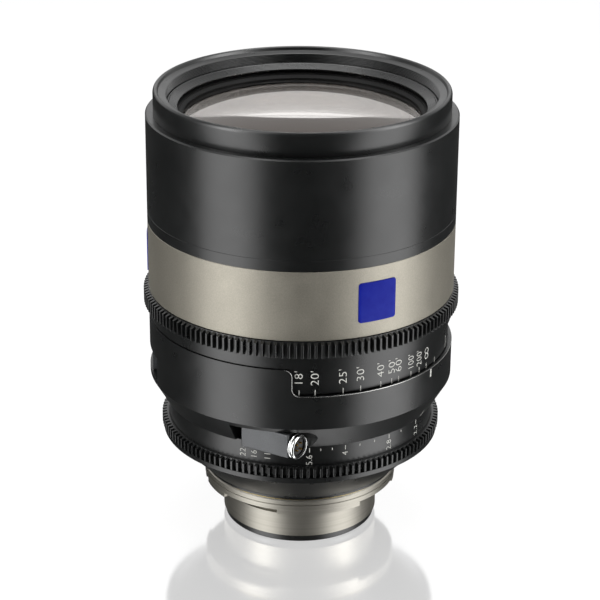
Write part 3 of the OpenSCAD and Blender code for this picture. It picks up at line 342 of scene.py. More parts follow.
# %% [markdown]
# ## The grey anodised band and pad
#
# Grey anodising is a hard clear skin over etched metal, so light comes back from
# tiny crystals below it. It looks like a very fine sparkle, lighter and darker from
# point to point. A fine noise in the colour gives that. The band is nearly as
# metallic as bare metal. The pad and the data cover are dyed darker, and look more
# like a paint.

# %% Grey anodised skins
def grey_anodised(name, dark, light, rough, metallic):
    """Etched aluminium under a grey oxide skin, with a fine sparkle."""
    made = material(name)
    place = object_place(made)
    sparkle = noise(made, place, 0.45, detail=3.0)
    return surface(
        made, Base_Color=blend(made, sparkle, dark, light), Metallic=metallic,
        Roughness=uneven(made, noise(made, place, 7), rough),
        Normal=relief(made, sparkle, 0.004))


band_grey = grey_anodised("warm_grey_anodised_aluminium", "#837f75", "#8f8b80", 0.45, 0.7)
pad_grey = grey_anodised("dark_grey_anodised_pad", "#36383a", "#404244", 0.42, 0.3)
cover_grey = grey_anodised("dark_grey_anodised_cover", "#3a3b3d", "#424446", 0.36, 0.3)
print("grey skins:", band_grey.name, pad_grey.name, cover_grey.name)


# %% [markdown]
# ## Enamel, plastic and paint
#
# The coloured tiles are fired enamel: deep colour with a trace of a clear top, which
# is a thin coat over the base. The scale marks are engraved and filled with a matt
# white paint. Rollers, socket insert and circuit board are plain plastics with a soft
# unevenness from their mould or press.

# %% Moulded and painted pieces
def moulded(name, dark, light, rough, shine=0.5, coat=0.0):
    """A plastic, enamel or paint with a faint unevenness."""
    made = material(name)
    place = object_place(made)
    return surface(
        made, Base_Color=blend(made, noise(made, place, 3), dark, light), Coat_Weight=coat,
        Roughness=uneven(made, noise(made, place, 5), rough),
        Specular_IOR_Level=shine, Normal=relief(made, noise(made, place, 0.5), 0.004))


blue_enamel = moulded("blue_tile_enamel", "#141e8a", "#1a2692", 0.4, shine=0.06, coat=0.03)
roller_acetal = moulded("acetal_rollers", "#d0c8b0", "#dcd4bc", 0.4)
socket_insulator = moulded("socket_insulator", "#0e0e0e", "#141414", 0.45, shine=0.3)
board_laminate = moulded("glass_epoxy_board", "#1a5236", "#20603f", 0.4)
mark_paint = moulded("white_engraving_paint", "#cfcfc9", "#dadad4", 0.5, shine=0.2)
# Painted shade: a near-black for the floor of the mount's slit, which lies in the shadow under the
# flange.
slit_painted_shade = moulded("slit_painted_shade_black", "#060606", "#0a0a0a", 0.7, shine=0.1)
print("paints:", blue_enamel.name, mark_paint.name)


# %% [markdown]
# ## Coated glass
#
# Each lens element is polished glass with a thin coating that cuts its reflection
# and gives what is left a warm tint. Glass needs full transmission and a true index
# of about 1.6; the coating is a tint on the reflection. The ground rim of an element
# is painted black so that no light leaks in from the side.

# %% Polished glass
def polished_glass(name, dark, light, reflection, index):
    """Optical glass with a coating that colours what little it reflects."""
    made = material(name)
    cloud = noise(made, object_place(made), 30)
    return surface(
        made, Base_Color=blend(made, cloud, dark, light), Transmission_Weight=1.0,
        Roughness=0.0, IOR=index, Specular_Tint=colour(reflection))


coated_glass = polished_glass("coated_optical_glass", "#f5f1ed", "#f7f3ef", "#f8dcc8", 1.6)
print("glass:", coated_glass.name)

# %% [markdown]
# ## Every solid gets its finish
#
# The CAD solids keep their shape, so a finish is all that most of them need. Those
# inside the barrel get one too: they show when the housing is opened or when the
# iris closes.

# %% Give every solid its finish
FINISHES = {
    outer_black: ["front_barrel", "band_collar", "focus_drum", "window_housing", "iris_ring",
                  "rear_cone", "rear_guard", "front_ring"],
    gear_black: ["focus_gear", "iris_gear"],
    baffle_black: ["front_baffle"],
    inner_black_and_bore_shade: ["front_retainer", "front_cell", "glass_spacers", "core_tube",
                  "cam_ring", "carrier_retainer", "iris_plate", "iris_cover", "rear_cell",
                  "rear_retainers", "data_block"],
    cover_grey: ["data_cover"],
    band_grey: ["name_band"],
    blue_enamel: ["band_tiles"],
    mount_nickel: ["lens_mount"],
    screw_steel: ["barrel_screws", "focus_ring_screws", "mount_screws", "pad_screws",
                  "follower_pins", "iris_drive_pins"],
    shell_chrome: ["socket_shell"],
    pad_grey: ["support_pad"],
    bare_aluminium: ["cam_tube", "focus_carrier", "iris_rotor"],
    bush_bronze: ["cam_bushes"],
    roller_acetal: ["follower_rollers"],
    socket_insulator: ["socket_insert"],
    contact_gold: ["socket_pins"],
    board_laminate: ["data_board"],
    blade_black: [name for name in nodes if name.startswith("iris_blade")],
    coated_glass: ["front_glass", "second_glass", "third_glass", "focus_glass_front",
                   "focus_glass_rear", "rear_glass", "last_glass"],
    shim_brass: ["mount_shim"],
}


def finish_with(piece, made):
    """Gives the whole piece one finish."""
    piece.data.materials.clear()
    piece.data.materials.append(made)


for made, names in FINISHES.items():
    for name in names:
        finish_with(nodes[name], made)
print("finished:", sum(len(names) for names in FINISHES.values()), "of", len(nodes))


# %% [markdown]
# ## A new piece takes its place
#
# A dressed piece rides on one of the moving bodies, so that it turns or slides with
# it. Where it stands for a solid, that solid is hidden. `repaint` gives some faces
# of a piece its second finish, as masking tape and a brush would.

# %% Install and repaint
def install(piece, body, made, *replaced, slot=None):
    """Rides the piece on its body, in place of the solids that it stands for."""
    finish_with(piece, made)
    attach(piece, body)
    if replaced:
        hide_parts(*replaced)


def repaint(piece, made, test):
    """Gives the faces that pass the test one more finish."""
    piece.data.materials.append(made)
    select_only(piece)
    bpy.ops.object.mode_set(mode="EDIT")
    count = pick(piece, test)
    piece.active_material_index = len(piece.data.materials) - 1
    bpy.ops.object.material_slot_assign()
    bpy.ops.object.mode_set(mode="OBJECT")
    print(piece.name, "repainted faces:", count)


# %% [markdown]
# ## The front ring and its thread
#
# The mouth of the lens is cut with a fine thread for filters. Modelled as a true
# helix it would cost many thousand faces and look the same, so it is a stack of six
# ridges in the lathe outline, 0.56 mm apart. The outer lip is rounded by points listed
# one by one, because it is the soft line that the light runs along.

# %% Front ring
THREAD_BORE, THREAD_FOOT, THREAD_DEPTH, THREAD_PITCH, RIDGES = 52.0, 174.42, 0.42, 0.56, 6
RING_R, RELIEF_R, BAFFLE_TOP = 57.0, 53.4, 174.3
ridges = []
for turn in range(RIDGES):
    crest = THREAD_FOOT + turn * THREAD_PITCH
    ridges += [(THREAD_BORE, crest), (THREAD_BORE + THREAD_DEPTH, crest + THREAD_PITCH / 2)]
front_ring = turned("threaded_front_ring", [
    (RELIEF_R, 166.5), (55.5, 166.5), (55.5, 170.7), (RING_R, 170.7), (RING_R, 178.6),
    (56.82, 179.3), (56.4, 179.85), (55.9, 180.0), (55.3, 179.6), (54.9, 178.5), (52.6, 178.0),
    (THREAD_BORE, 177.8), *reversed(ridges), (RELIEF_R, BAFFLE_TOP)], soften=0.07)
install(front_ring, "lens_body", outer_black, "front_ring", slot="black_anodised")

# %% [markdown]
# ## The ribbed baffle
#
# Below the thread a sloping collar hides the rim of the front glass. Fine grooves are
# turned into it, so that stray light is caught between them. They look like a fan of
# thin lines, 0.62 mm apart.

# %% Baffle
RIB_OUTER_R, RIB_PITCH, RIB_DEPTH, RIBS = 51.4, 0.62, 0.26, 6
CROWN_R, COLLAR_FALL = 50.95, 0.5
ribs = []
for turn in range(RIBS):
    radius = RIB_OUTER_R - turn * RIB_PITCH
    crest = BAFFLE_TOP - max(CROWN_R - radius, 0) * COLLAR_FALL
    ribs += [(radius, crest), (radius - RIB_PITCH / 2, crest - RIB_DEPTH)]
baffle = turned("ribbed_front_baffle", [
    (50.45, 171.0), (53.35, 171.0), (53.35, BAFFLE_TOP), *ribs, (47.75, 172.7), (47.75, 172.2),
    (50.45, 172.2)], soften=0.05)
install(baffle, "lens_body", baffle_black, "front_baffle", slot="black_anodised")


# %% [markdown]
# ## Toothed rings
#
# A follow focus or a motor drives the lens by a pinion, so both rings carry straight
# teeth of module 0.8. One tooth is a block whose outer face is made narrower and
# shorter, which slopes its flanks and its ends, and whose edges are broken. It is
# modelled once and copied round the ring by spin.

# %% Toothed rings
TOOTH_SINK, TOOTH_SHARE, TIP_SHARE, TOOTH_EDGE, TOOTH_SHORTER = 0.3, 0.58, 0.6, 0.1, 0.04


def toothed_ring(name, teeth, root, tip, bore, low, high, slope):
    """A turned ring with one modelled tooth, copied all the way round it."""
    piece = turned(name, [(bore, low), (root, low), (root, high), (bore, high)], soften=0.15,
                   steps=teeth)
    pitch = 2 * math.pi * root / teeth
    foot, tall = root - TOOTH_SINK, high - low - TOOTH_SHORTER
    select_only(piece)
    bpy.ops.object.mode_set(mode="EDIT")
    bpy.ops.mesh.select_all(action="DESELECT")
    bpy.ops.mesh.primitive_cube_add(
        size=MM, location=((foot + tip) / 2 * MM, 0, (low + high) / 2 * MM),
        scale=(tip - foot, pitch * TOOTH_SHARE, tall))
    pick(piece, lambda face, at: face.normal.x > 0.9 and at.x > tip - 0.05)
    bpy.ops.transform.resize(value=(1, TIP_SHARE, 1 - 2 * slope / tall))
    bpy.ops.mesh.select_linked()
    bpy.ops.mesh.bevel(offset=TOOTH_EDGE * MM, segments=1, affect="EDGES")
    bpy.ops.mesh.select_linked()
    bpy.ops.mesh.spin(steps=teeth - 1, angle=2 * math.pi * (teeth - 1) / teeth, dupli=True,
                      center=(0, 0, 0), axis=(0, 0, 1))
    close_up(piece, 25)
    print(name, teeth, "teeth,", len(piece.data.polygons), "faces")
    return piece


focus_gear = toothed_ring("focus_gear_teeth", 153, 60.2, 62.0, 55.62, 93.6, 100.2, 0.75)
install(focus_gear, "focus_ring_body", gear_black, "focus_gear", slot="black_anodised")
iris_gear = toothed_ring("iris_gear_teeth", 137, 53.8, 55.6, 52.6, 41.1, 45.6, 0.45)
install(iris_gear, "iris_ring_body", gear_black, "iris_gear", slot="black_anodised")


# %% [markdown]
# ## The glasses
#
# A lens element is a disc with two spherical faces. It is a lathe part like any
# other, but its outline follows an arc in twenty steps, close enough together that
# smooth shading hides them. All seven elements are modelled, because the eye looks
# through one at the next. Their ground rims are repainted black.

# %% Lens elements
BOW_STEPS, GROUND_RIM, RIM_BREAK = 20, 0.4, 0.05


def bow(radius, height, rise, up):
    """Points along a spherical face, from its rim to the axis."""
    if not rise:
        return [(radius, height), (0, height)]
    bend = (radius ** 2 + rise ** 2) / (2 * abs(rise))
    points = []
    for step in range(BOW_STEPS + 1):
        at = radius * (1 - step / BOW_STEPS)
        lift = math.sqrt(bend ** 2 - at ** 2) - math.sqrt(bend ** 2 - radius ** 2)
        points.append((at, height + up * math.copysign(lift, rise)))
    return points


def glass(name, node, body, radius, low, high, low_rise, high_rise):
    """A lens element; a negative rise is a hollow face."""
    edge = radius - GROUND_RIM
    upper = bow(edge, high, high_rise, 1)
    lower = bow(edge, low, low_rise, -1)
    rim = [(radius, low + RIM_BREAK), (radius, high - RIM_BREAK)]
    piece = turned(name, [*rim, *upper, *reversed(lower)], steps=128, smooth=20)
    install(piece, body, coated_glass, node, slot="optical_glass")
    repaint(piece, inner_black_and_bore_shade,
            lambda face, at: math.hypot(at.x, at.y) > edge - 0.1 and abs(face.normal.z) < 0.5)


glass("polished_front_glass", "front_glass", "lens_body", 47.5, 163.0, 168.7, -2, 5.5)
glass("polished_second_glass", "second_glass", "lens_body", 41.2, 153.6, 158.8, 2, 2)
glass("polished_third_glass", "third_glass", "lens_body", 41.2, 146.5, 151.7, 0, -2)
glass("polished_focus_glass_front", "focus_glass_front", "focus_carriage_body",
      37.9, 113.8, 120.3, 2.4, 2.4)
glass("polished_focus_glass_rear", "focus_glass_rear", "focus_carriage_body",
      37.9, 107.0, 113.5, -2.4, -2.4)
glass("polished_rear_glass", "rear_glass", "lens_body", 24.9, 28.8, 33.8, -1.6, 1.6)
glass("polished_last_glass", "last_glass", "lens_body", 22.4, 11.0, 16.0, -1.6, -1.6)


# %% [markdown]
# ## The lip of the scale window
#
# The edge of the window shows as a thin bright line, the highlight on its small bevel.
# The solid's edge is sharp, so a fine round bead is laid along it; its roundness is
# real, and its bright metal colour is a painted highlight for the light that the bevel
# catches. The bead is a curve through points on the edge with a round section, turned
# into a mesh.

# %% Window lip
WALL_R, WINDOW_LOW, WINDOW_HIGH, CORNER = 60.0, 77.8, 88.6, 3.0
WINDOW_LEFT, WINDOW_RIGHT, LIP_THICK, LIP_SINK = -3, 120, 0.26, 0.06


def window_edge(end, side):
    """Points of one end of the window, from its top down; side is 1 for the left end."""
    degree = 180 / math.pi / WALL_R
    points = []
    for turn in range(0, 91, 15):
        reach, rise = 1 - math.cos(math.radians(turn)), math.sin(math.radians(turn))
        points.append((end - side * degree * CORNER * (1 - rise), WINDOW_HIGH - CORNER * reach))
    for turn in range(0, 91, 15):
        reach, fall = 1 - math.cos(math.radians(turn)), math.sin(math.radians(turn))
        points.append((end + side * degree * CORNER * reach, WINDOW_LOW + CORNER * (1 - fall)))
    return points


def bead(name, points, radius, thick):
    """A round wire through (azimuth, height) points at one radius."""
    wire = bpy.data.curves.new(name, "CURVE")
    wire.dimensions = "3D"
    line = wire.splines.new("POLY")
    line.points.add(len(points) - 1)
    for spot, (azimuth, height) in zip(line.points, points):
        spot.co = (*around(azimuth, radius, height), 1)
    wire.bevel_depth, wire.bevel_resolution, wire.use_fill_caps = thick / 2 * MM, 2, True
    piece = bpy.data.objects.new(name, wire)
    bpy.context.scene.collection.objects.link(piece)
    select_only(piece)
    bpy.ops.object.convert(target="MESH")
    piece = bpy.context.object
    bpy.ops.object.mode_set(mode="EDIT")
    close_up(piece, 60)
    return piece


left_end, right_end = window_edge(WINDOW_LEFT, 1), window_edge(WINDOW_RIGHT, -1)
sill = [(azimuth, WINDOW_LOW) for azimuth in range(WINDOW_LEFT + 4, WINDOW_RIGHT - 3, 2)]
# The bead's bright metal is a painted highlight along the window's edge.
lip = bead("window_lip", [*left_end, *sill, *reversed(right_end)], WALL_R - LIP_SINK, LIP_THICK)
install(lip, "lens_body", lip_highlight_metal, slot="bright_steel")
print("window lip:", len(lip.data.polygons), "faces")


# %% [markdown]
# ## The data cover
#
# Behind a small plate on the housing lies the lens's circuit board. The plate is
# milled flat, with rounded edges and a shallow field. It is a block whose edges are
# bevelled; its front face is inset and pushed in a little, and the seat of the socket
# is bored with a boolean, as a drill would.

# %% Data cover
COVER_PLACE, COVER_SIZE = Vector((54.5, 15.8, 57.55)), (1.6, 20.4, 9.5)
COVER_ROUND, FIELD_INSET, FIELD_DEPTH = 0.3, 0.45, 0.12
DATA_AZIMUTH, SOCKET_U, SOCKET_S, SOCKET_Z, SOCKET_TURN = -29.5, 50.8, 26.0, 56.5, 7.0
socket_place = (Matrix.Rotation(math.radians(DATA_AZIMUTH - 90), 4, "Z")
                @ Matrix.Translation(Vector((SOCKET_U, SOCKET_S, SOCKET_Z)) * MM)
                @ Matrix.Rotation(math.radians(-SOCKET_TURN), 4, "Z")
                @ Matrix.Rotation(math.radians(-90), 4, "X"))


def put(piece, place):
    """Moves a piece to its place and writes that place into its mesh."""
    select_only(piece)
    piece.matrix_world = place
    bpy.ops.object.transform_apply(location=True, rotation=True, scale=True)
    return piece


def cover_plate():
    """The milled plate, in the frame of the data block: X outwards, Y along the face."""
    select_only()
    bpy.ops.mesh.primitive_cube_add(size=MM, location=COVER_PLACE * MM, scale=COVER_SIZE)
    piece = bpy.context.object
    piece.name = piece.data.name = "milled_data_cover"
    bpy.ops.object.transform_apply(location=True, rotation=False, scale=True)
    bpy.ops.object.mode_set(mode="EDIT")
    bpy.ops.mesh.select_all(action="SELECT")
    bpy.ops.mesh.bevel(offset=COVER_ROUND * MM, segments=3, affect="EDGES")
    pick(piece, lambda face, at: face.normal.x > 0.99 and at.x > 55.2)
    bpy.ops.mesh.inset(thickness=FIELD_INSET * MM, depth=-FIELD_DEPTH * MM)
    return close_up(piece)


cover = put(cover_plate(), Matrix.Rotation(math.radians(DATA_AZIMUTH - 90), 4, "Z"))
drill = turned("drill", [(0, -2.2), (4.05, -2.2), (4.05, 12), (0, 12)], steps=64)
put(drill, socket_place)
bore = cover.modifiers.new("socket_seat", "BOOLEAN")
bore.object, bore.operation, bore.solver = drill, "DIFFERENCE", "EXACT"
select_only(cover)
bpy.ops.object.modifier_apply(modifier=bore.name)
bpy.data.objects.remove(drill)
install(cover, "lens_body", cover_grey, "data_cover", slot="black_anodised")
print("data cover:", len(cover.data.polygons), "faces")

# %% [markdown]
# ## The socket
#
# The data socket is a bright turned shell round a black insert with gold pins. A
# groove for the plug's latch and a stepped mouth make it read as a socket and not as
# a pipe. Both are lathe outlines, turned upright and then moved to their place.

# %% Socket
SHELL_BORE, SHELL_MOUTH = 3.98, 2.75


def in_the_bore(face, at):
    """Whether a face of the shell looks into its bore, below the bright mouth, where painted shade
    goes.
    """
    place = socket_place.inverted() @ (at * MM) / MM
    return place.z < SHELL_MOUTH and math.hypot(place.x, place.y) < SHELL_BORE


shell = turned("grooved_socket_shell", [
    (3.5, -2.0), (4.0, -2.0), (4.0, 0.7), (4.9, 0.7), (4.9, 1.2), (4.62, 1.35), (4.62, 1.7),
    (4.9, 1.85), (4.9, 2.75), (4.45, 3.2), (4.05, 3.2), (3.95, 2.7), (3.5, 2.6)],
    soften=0.08, steps=96)
install(put(shell, socket_place), "lens_body", shell_chrome, "socket_shell", slot="silvered_shell")
# Inside its bore, below the bright mouth, the chrome shell is painted matt black as painted shade
# for the dark inside of the bore.
repaint(shell, inner_black_and_bore_shade, in_the_bore)
insert = turned("socket_insert_face", [
    (0, -2.0), (3.5, -2.0), (3.5, 2.0), (3.1, 2.0), (2.9, 1.8), (0, 1.8)], soften=0.06, steps=96)
install(put(insert, socket_place), "lens_body", socket_insulator, "socket_insert", slot="insulator")

# %% [markdown]
# ## The tiles
#
# Three enamel tiles are let into the pale band. Fired enamel flows to a soft edge.
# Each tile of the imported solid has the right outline, so a copy is merged, its flat
# faces are cleaned up and its edges are rounded with a bevel modifier.

# %% Tiles
FIRED_ROUND = 0.16
tiles = bpy.data.objects.new("fired_tiles", nodes["band_tiles"].data.copy())
bpy.context.scene.collection.objects.link(tiles)
select_only(tiles)
bpy.ops.object.mode_set(mode="EDIT")
merge_all()
bpy.ops.mesh.dissolve_limited(angle_limit=math.radians(1))
bpy.ops.object.mode_set(mode="OBJECT")
rounding = tiles.modifiers.new("fired_edge", "BEVEL")
rounding.width, rounding.segments = FIRED_ROUND * MM, 2
rounding.limit_method, rounding.angle_limit = "ANGLE", math.radians(50)
bpy.ops.object.modifier_apply(modifier=rounding.name)
bpy.ops.object.mode_set(mode="EDIT")
close_up(tiles)
install(tiles, "lens_body", blue_enamel, "band_tiles", slot="tile_enamel")
print("tiles:", len(tiles.data.polygons), "faces")


# %% [markdown]
# ## The mount's slit
#
# One side of the mount's barrel has a long slit, where the camera's locating key runs.
# It lies in the shadow under the flange, so a near-black strip of a turned ring on its
# floor is painted shade. It is spun through a part of a turn only, and so its two ends
# are closed by the first and the last face.

# %% Slit floor
def part_ring(name, outline, start, end, steps):
    """A piece of a ring between two azimuths."""
    piece = drawn(name, [(radius, 0, height) for radius, height in [*outline, outline[0]]])
    merge_all()
    bpy.ops.mesh.edge_face_add()
    bpy.ops.mesh.spin(steps=steps, angle=math.radians(end - start), center=(0, 0, 0),
                      axis=(0, 0, 1))
    close_up(piece)
    return put(piece, Matrix.Rotation(math.radians(start - 90), 4, "Z"))


SLIT_FLOOR_R, STRIP_TOP_R, SLIT_LOW, SLIT_HIGH = 28.78, 29.0, 12.72, 15.28
# The floor strip is painted shade, near-black where the flange casts its shadow.
slit = part_ring("slit_floor_painted_shade", [
    (SLIT_FLOOR_R, SLIT_LOW), (STRIP_TOP_R, SLIT_LOW), (STRIP_TOP_R, SLIT_HIGH),
    (SLIT_FLOOR_R, SLIT_HIGH)], -61.8, -15.2, 40)
install(slit, "lens_body", slit_painted_shade)
print("slit floor:", len(slit.data.polygons), "faces")


# %% [markdown]
# ## Scale marks
#
# The distances and stops are engraved and filled with white. Plain numbers are set
# with a text object, thinned a little to match an engraver's cutter, made a mesh and
# scaled to the height of the real figures. They stand 0.03 mm out of the drum, as
# filled paint does. The distance numbers follow one law: the angle from infinity
# shrinks as one over the distance.

# %% Numbers and ticks
PAINT_PROUD, TICK_EDGE = 0.03, 0.02


def white_number(words, azimuth, radius, foot, cap, align="LEFT", wide=1.0):
    """A number whose line runs up the barrel, with its top towards smaller azimuths.

    The line starts at the foot, or ends there where it is aligned right.
    """
    select_only()
    bpy.ops.object.text_add()
    text = bpy.context.object
    text.data.body, text.data.align_x, text.data.align_y = words, align, "CENTER"
    text.data.offset, text.data.space_character = -0.012, 1.06
    text.data.extrude = 1
    bpy.ops.object.convert(target="MESH")
    piece = bpy.context.object
    size = cap * MM / piece.dimensions.y
    piece.scale = (size * wide, size, PAINT_PROUD * MM)
    piece.rotation_euler = (math.pi / 2, -math.pi / 2, 0)
    bpy.ops.object.transform_apply(location=False, rotation=True, scale=True)
    piece.location = around(azimuth, radius, foot)
    piece.rotation_euler = (0, 0, math.radians(azimuth))
    bpy.ops.object.transform_apply(location=True, rotation=True, scale=True)
    return piece


def white_tick(azimuth, radius, low, high, wide, lean=0.0):
    """A short engraved line, filled with paint; lean tilts its top outwards."""
    select_only()
    bpy.ops.mesh.primitive_cube_add(size=MM, scale=(wide, 2 * PAINT_PROUD, high - low))
    piece = bpy.context.object
    bpy.ops.object.transform_apply(location=False, rotation=False, scale=True)
    bpy.ops.object.mode_set(mode="EDIT")
    bpy.ops.mesh.select_all(action="SELECT")
    bpy.ops.mesh.bevel(offset=TICK_EDGE * MM, segments=1, affect="EDGES")
    bpy.ops.object.mode_set(mode="OBJECT")
    piece.rotation_euler = (math.radians(lean), 0, math.radians(azimuth))
    piece.location = around(azimuth, radius, (low + high) / 2)
    bpy.ops.object.transform_apply(location=True, rotation=True, scale=False)
    return piece


def endless_sign(azimuth, radius, foot, cap):
    """The sign for infinity, two flat rings one above the other."""
    loops = []
    for step in (0.5, 1.36):
        select_only()
        bpy.ops.mesh.primitive_torus_add(major_radius=cap * 0.42 * MM, minor_radius=0.16 * MM,
                                         major_segments=28, minor_segments=6)
        loop = bpy.context.object
        loop.scale = (1.05, 1, 0.25)
        bpy.ops.object.transform_apply(location=False, rotation=False, scale=True)
        loop.rotation_euler = (math.pi / 2, 0, math.radians(azimuth))
        loop.location = around(azimuth, radius, foot + cap * step)
        bpy.ops.object.transform_apply(location=True, rotation=True, scale=False)
        loops.append(loop)
    return loops


def joined(name, pieces):
    """All of these pieces as one."""
    select_only(*pieces)
    bpy.ops.object.join()
    pieces[0].name = pieces[0].data.name = name
    print(name, "from", len(pieces), "pieces,", len(pieces[0].data.polygons), "faces")
    return pieces[0]


# %% Focus scale
CUT, DRUM_R, INFINITY_AZIMUTH, SPREAD_LAW = 0.3, 58.4, 55.7, 955
TICK_LOW, TICK_HIGH, NUMBER_FOOT, LONG_NUMBER_FOOT, FOCUS_CAP = 77.8, 80.0, 81.7, 80.6, 3.1
DISTANCES = (200, 100, 60, 50, 40, 30, 25, 20, 18, 15, 12, 10, 9, 8, 7, 6, 5)
focus_marks = [*endless_sign(INFINITY_AZIMUTH, DRUM_R, NUMBER_FOOT, 2.6),
               white_tick(INFINITY_AZIMUTH, DRUM_R, TICK_LOW, TICK_HIGH, CUT),
               white_tick(62.3, DRUM_R, TICK_LOW, TICK_HIGH, CUT),
               white_tick(75.7, DRUM_R, 78.2, 83.4, CUT)]
for feet in DISTANCES:
    azimuth = INFINITY_AZIMUTH - SPREAD_LAW / (feet - 1)
    foot, wide = (LONG_NUMBER_FOOT, 0.85) if feet >= 100 else (NUMBER_FOOT, 1.15)
    focus_marks.append(white_number(f"{feet}'", azimuth, DRUM_R, foot, FOCUS_CAP, wide=wide))
    focus_marks.append(white_tick(azimuth, DRUM_R, TICK_LOW, TICK_HIGH, CUT))
install(joined("focus_scale_marks", focus_marks), "focus_ring_body", mark_paint)

# %% Iris scale
IRIS_R, IRIS_CAP = 52.6, 2.3
# each stop with its azimuth and the height of its number's top
STOPS = (("2.2", 59.4, 50.6), ("2.8", 40.8, 50.6), ("4", 19.3, 50.4), ("5.6", 4.0, 50.0),
         ("8", -5.5, 50.6), ("11", -13.5, 50.6), ("16", -19.4, 50.6), ("22", -24.4, 50.6))
# azimuths of the small ticks between the stops
BETWEEN = (8.7, 13.6, 25.9, 33.0, 48.1)
iris_marks = []
for stop, azimuth, top in STOPS:
    iris_marks.append(white_number(stop, azimuth, IRIS_R, top, IRIS_CAP, align="RIGHT"))
    iris_marks.append(white_tick(azimuth, IRIS_R, 51.1, 52.9, CUT))
for azimuth in BETWEEN:
    iris_marks.append(white_tick(azimuth, IRIS_R, 51.6, 52.5, CUT))
install(joined("iris_scale_marks", iris_marks), "iris_ring_body", mark_paint)

# %% [markdown]
# ## Index marks
#
# Each scale is read against one fixed line on the housing: a broad one under the
# window for the distance, and a fine one on the sloping foot for the stop.

# %% Index lines
index_lines = joined("index_lines", [
    white_tick(56.6, WALL_R, 74.3, 77.5, 0.9),
    white_tick(59.4, 55.28, 54.7, 57.9, CUT, lean=30.6)])
install(index_lines, "lens_body", mark_paint)


# %% [markdown]
# ## The table
#
# The lens stands on white acrylic, which the camera sees as white paper with a soft
# reflection and the shadow of the lens. The part that glows is only for rays that
# look at the table, so it does not light the lens from below.

# %% Floor
GLOSS_SHARE, GLOW_SHARE, GLOW = 0.6, 0.4, 1.2


def seen_directly(made):
    """One for rays from the camera, a mirror or a glass, nought for rays that gather light."""
    sight = add(made, "LightPath", {})
    eye = add(made, "Math", {0: sight.outputs["Is Camera Ray"], 1: sight.outputs["Is Glossy Ray"]},
              operation="MAXIMUM").outputs[0]
    return add(made, "Math", {0: eye, 1: sight.outputs["Is Transmission Ray"]},
               operation="MAXIMUM").outputs[0]


def table_acrylic():
    """White acrylic: seen as white paper, with the object's shadow and a soft reflection."""
    made = material("white_acrylic_table")
    board = add(made, "BsdfDiffuse", {"Color": colour("#f4f4f4")}).outputs[0]
    gloss = add(made, "BsdfGlossy", {"Color": colour("#ffffff"), "Roughness": 0.1}).outputs[0]
    both = add(made, "MixShader", {0: GLOSS_SHARE, 1: board, 2: gloss}).outputs[0]
    glow = add(made, "Emission", {"Color": colour("#ffffff"), "Strength": GLOW}).outputs[0]
    share = add(made, "Math", {0: seen_directly(made), 1: GLOW_SHARE},
                operation="MULTIPLY").outputs[0]
    mixed = add(made, "MixShader", {0: share, 1: both, 2: glow}).outputs[0]
    add(made, "OutputMaterial", {"Surface": mixed})
    return made


select_only()
bpy.ops.mesh.primitive_plane_add(size=8, location=(0, 2.0, 0))
floor = bpy.context.object
floor.name = "table"
floor.visible_glossy = False
finish_with(floor, table_acrylic())
print("table:", floor.dimensions.x, "metres wide")

# %% [markdown]
# ## The room
#
# The backdrop is white to the eye and through glass, and gives the lens only a soft
# share of light, so that colours come out about as they are written. A mirror sees a
# dark room. Two tall bright screens in it draw upright streaks down the black barrel.
# A bright ceiling beyond the lens fills the front glass, and it ends at the horizon,
# so the upright walls, which mirror what lies lower, stay dark at their edges. The
# world's own direction places all of these, so they stay when the camera moves.

# %% World
world = bpy.data.worlds.new("studio")
bpy.context.scene.world = world
world.use_nodes = True
world.node_tree.nodes.clear()
way = add(world, "TexCoord", {}).outputs["Generated"]
level = add(world, "VectorMath", {0: way, 1: (1, 1, 0)}, operation="MULTIPLY").outputs[0]
level = add(world, "VectorMath", {0: level}, operation="NORMALIZE").outputs[0]


def screen(azimuth, half_width, soft, strength):
    """An upright bright zone of the room, as a mirror sees it."""
    toward = Vector(around(azimuth, 1000, 0))
    near = add(world, "VectorMath", {0: level, 1: toward}, operation="DOT_PRODUCT").outputs["Value"]
    return add(world, "MapRange", {
        0: near, 1: math.cos(math.radians(half_width + soft)),
        2: math.cos(math.radians(max(half_width - soft, 0))), 3: 0, 4: strength},
        interpolation_type="SMOOTHSTEP").outputs[0]


# azimuth, half width and soft edge in degrees, and strength
SCREENS = ((-55, 16, 14, 3.6), (68, 18, 15, 3.6))
CEILING = (180, 75, 25, 1.1)
ROOM_SHADE, LIGHT_SHARE = 0.045, 0.3
room = add(world, "Value", {}).outputs[0]
room.default_value = ROOM_SHADE
for values in SCREENS:
    room = add(world, "Math", {0: room, 1: screen(*values)}).outputs[0]
height = add(world, "SeparateXYZ", {0: way}).outputs["Z"]
upward = add(world, "MapRange", {0: height, 1: 0.0, 2: 0.2},
             interpolation_type="SMOOTHSTEP").outputs[0]
ceiling = add(world, "Math", {0: upward, 1: screen(*CEILING)}, operation="MULTIPLY").outputs[0]
room = add(world, "Math", {0: room, 1: ceiling}).outputs[0]
sight = add(world, "LightPath", {})
seen = {0: sight.outputs["Is Camera Ray"], 1: sight.outputs["Is Transmission Ray"]}
clear = add(world, "Math", seen, operation="MAXIMUM").outputs[0]
strength = add(world, "MapRange", {0: clear, 3: LIGHT_SHARE, 4: 1.0}).outputs[0]
strength = add(world, "Mix", {0: sight.outputs["Is Glossy Ray"], 2: strength, 3: room}).outputs[0]
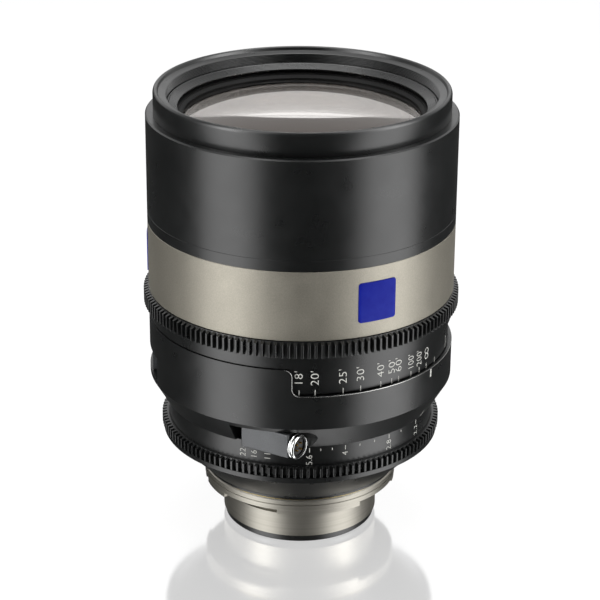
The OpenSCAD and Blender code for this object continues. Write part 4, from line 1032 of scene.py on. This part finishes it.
sky = add(world, "Background", {"Color": (1, 1, 1, 1), "Strength": strength})
add(world, "OutputWorld", {"Surface": sky.outputs[0]})
world.cycles.sampling_method = "NONE"
print("room screens:", len(SCREENS), "and a ceiling")


# %% [markdown]
# ## Lamps
#
# Two tall, narrow softboxes stand near the room's two screens, so that the light and
# the streaks come from the same sides. A large one overhead fills in from above. They
# are weak: black shows a lamp as a streak long before it brightens a pale surface.

# %% Lamps
def lamp(name, place, aim, wide, tall, watts):
    """A softbox, wide and tall in metres, that faces a point on the lens."""
    select_only()
    bpy.ops.object.light_add(type="AREA", location=place)
    made = bpy.context.object
    made.name = made.data.name = name
    made.data.shape, made.data.size, made.data.size_y = "RECTANGLE", wide, tall
    made.data.energy = watts
    made.rotation_euler = (made.location - Vector(aim)).to_track_quat("Z", "Y").to_euler()
    print(name, watts, "watts")


lamp("left_softbox", around(-57, 700, 400), (0, 0, 0.1), 0.2, 0.6, 2.2)
lamp("right_softbox", around(72, 700, 400), (0, 0, 0.1), 0.3, 0.6, 2.6)
lamp("overhead", around(180, 250, 1100), (0, 0, 0.15), 0.7, 0.5, 4)

# %% [markdown]
# ## The camera
#
# The camera stands 0.84 m from the middle of the lens and looks down on it by 22.7
# degrees. A long lens keeps the rings nearly parallel, as in a product photograph.

# %% Camera
CAMERA_PLACE, CAMERA_TILT, CAMERA_ROLL, LENS_MM = (0, -0.77070, 0.41487), 22.73, 0.42, 126.6
select_only()
bpy.ops.object.camera_add()
camera = bpy.context.object
camera.name = "photo_camera"
camera.data.sensor_width, camera.data.lens = 36, LENS_MM
camera.data.shift_x = -1 / 600
camera.data.clip_start, camera.data.clip_end = 0.05, 40
camera.matrix_world = (Matrix.Translation(CAMERA_PLACE)
                       @ Matrix.Rotation(math.radians(90 - CAMERA_TILT), 4, "X")
                       @ Matrix.Rotation(math.radians(CAMERA_ROLL), 4, "Z"))
bpy.context.scene.camera = camera
bpy.context.scene.view_settings.view_transform = "Standard"
print("camera lens:", camera.data.lens, "mm")
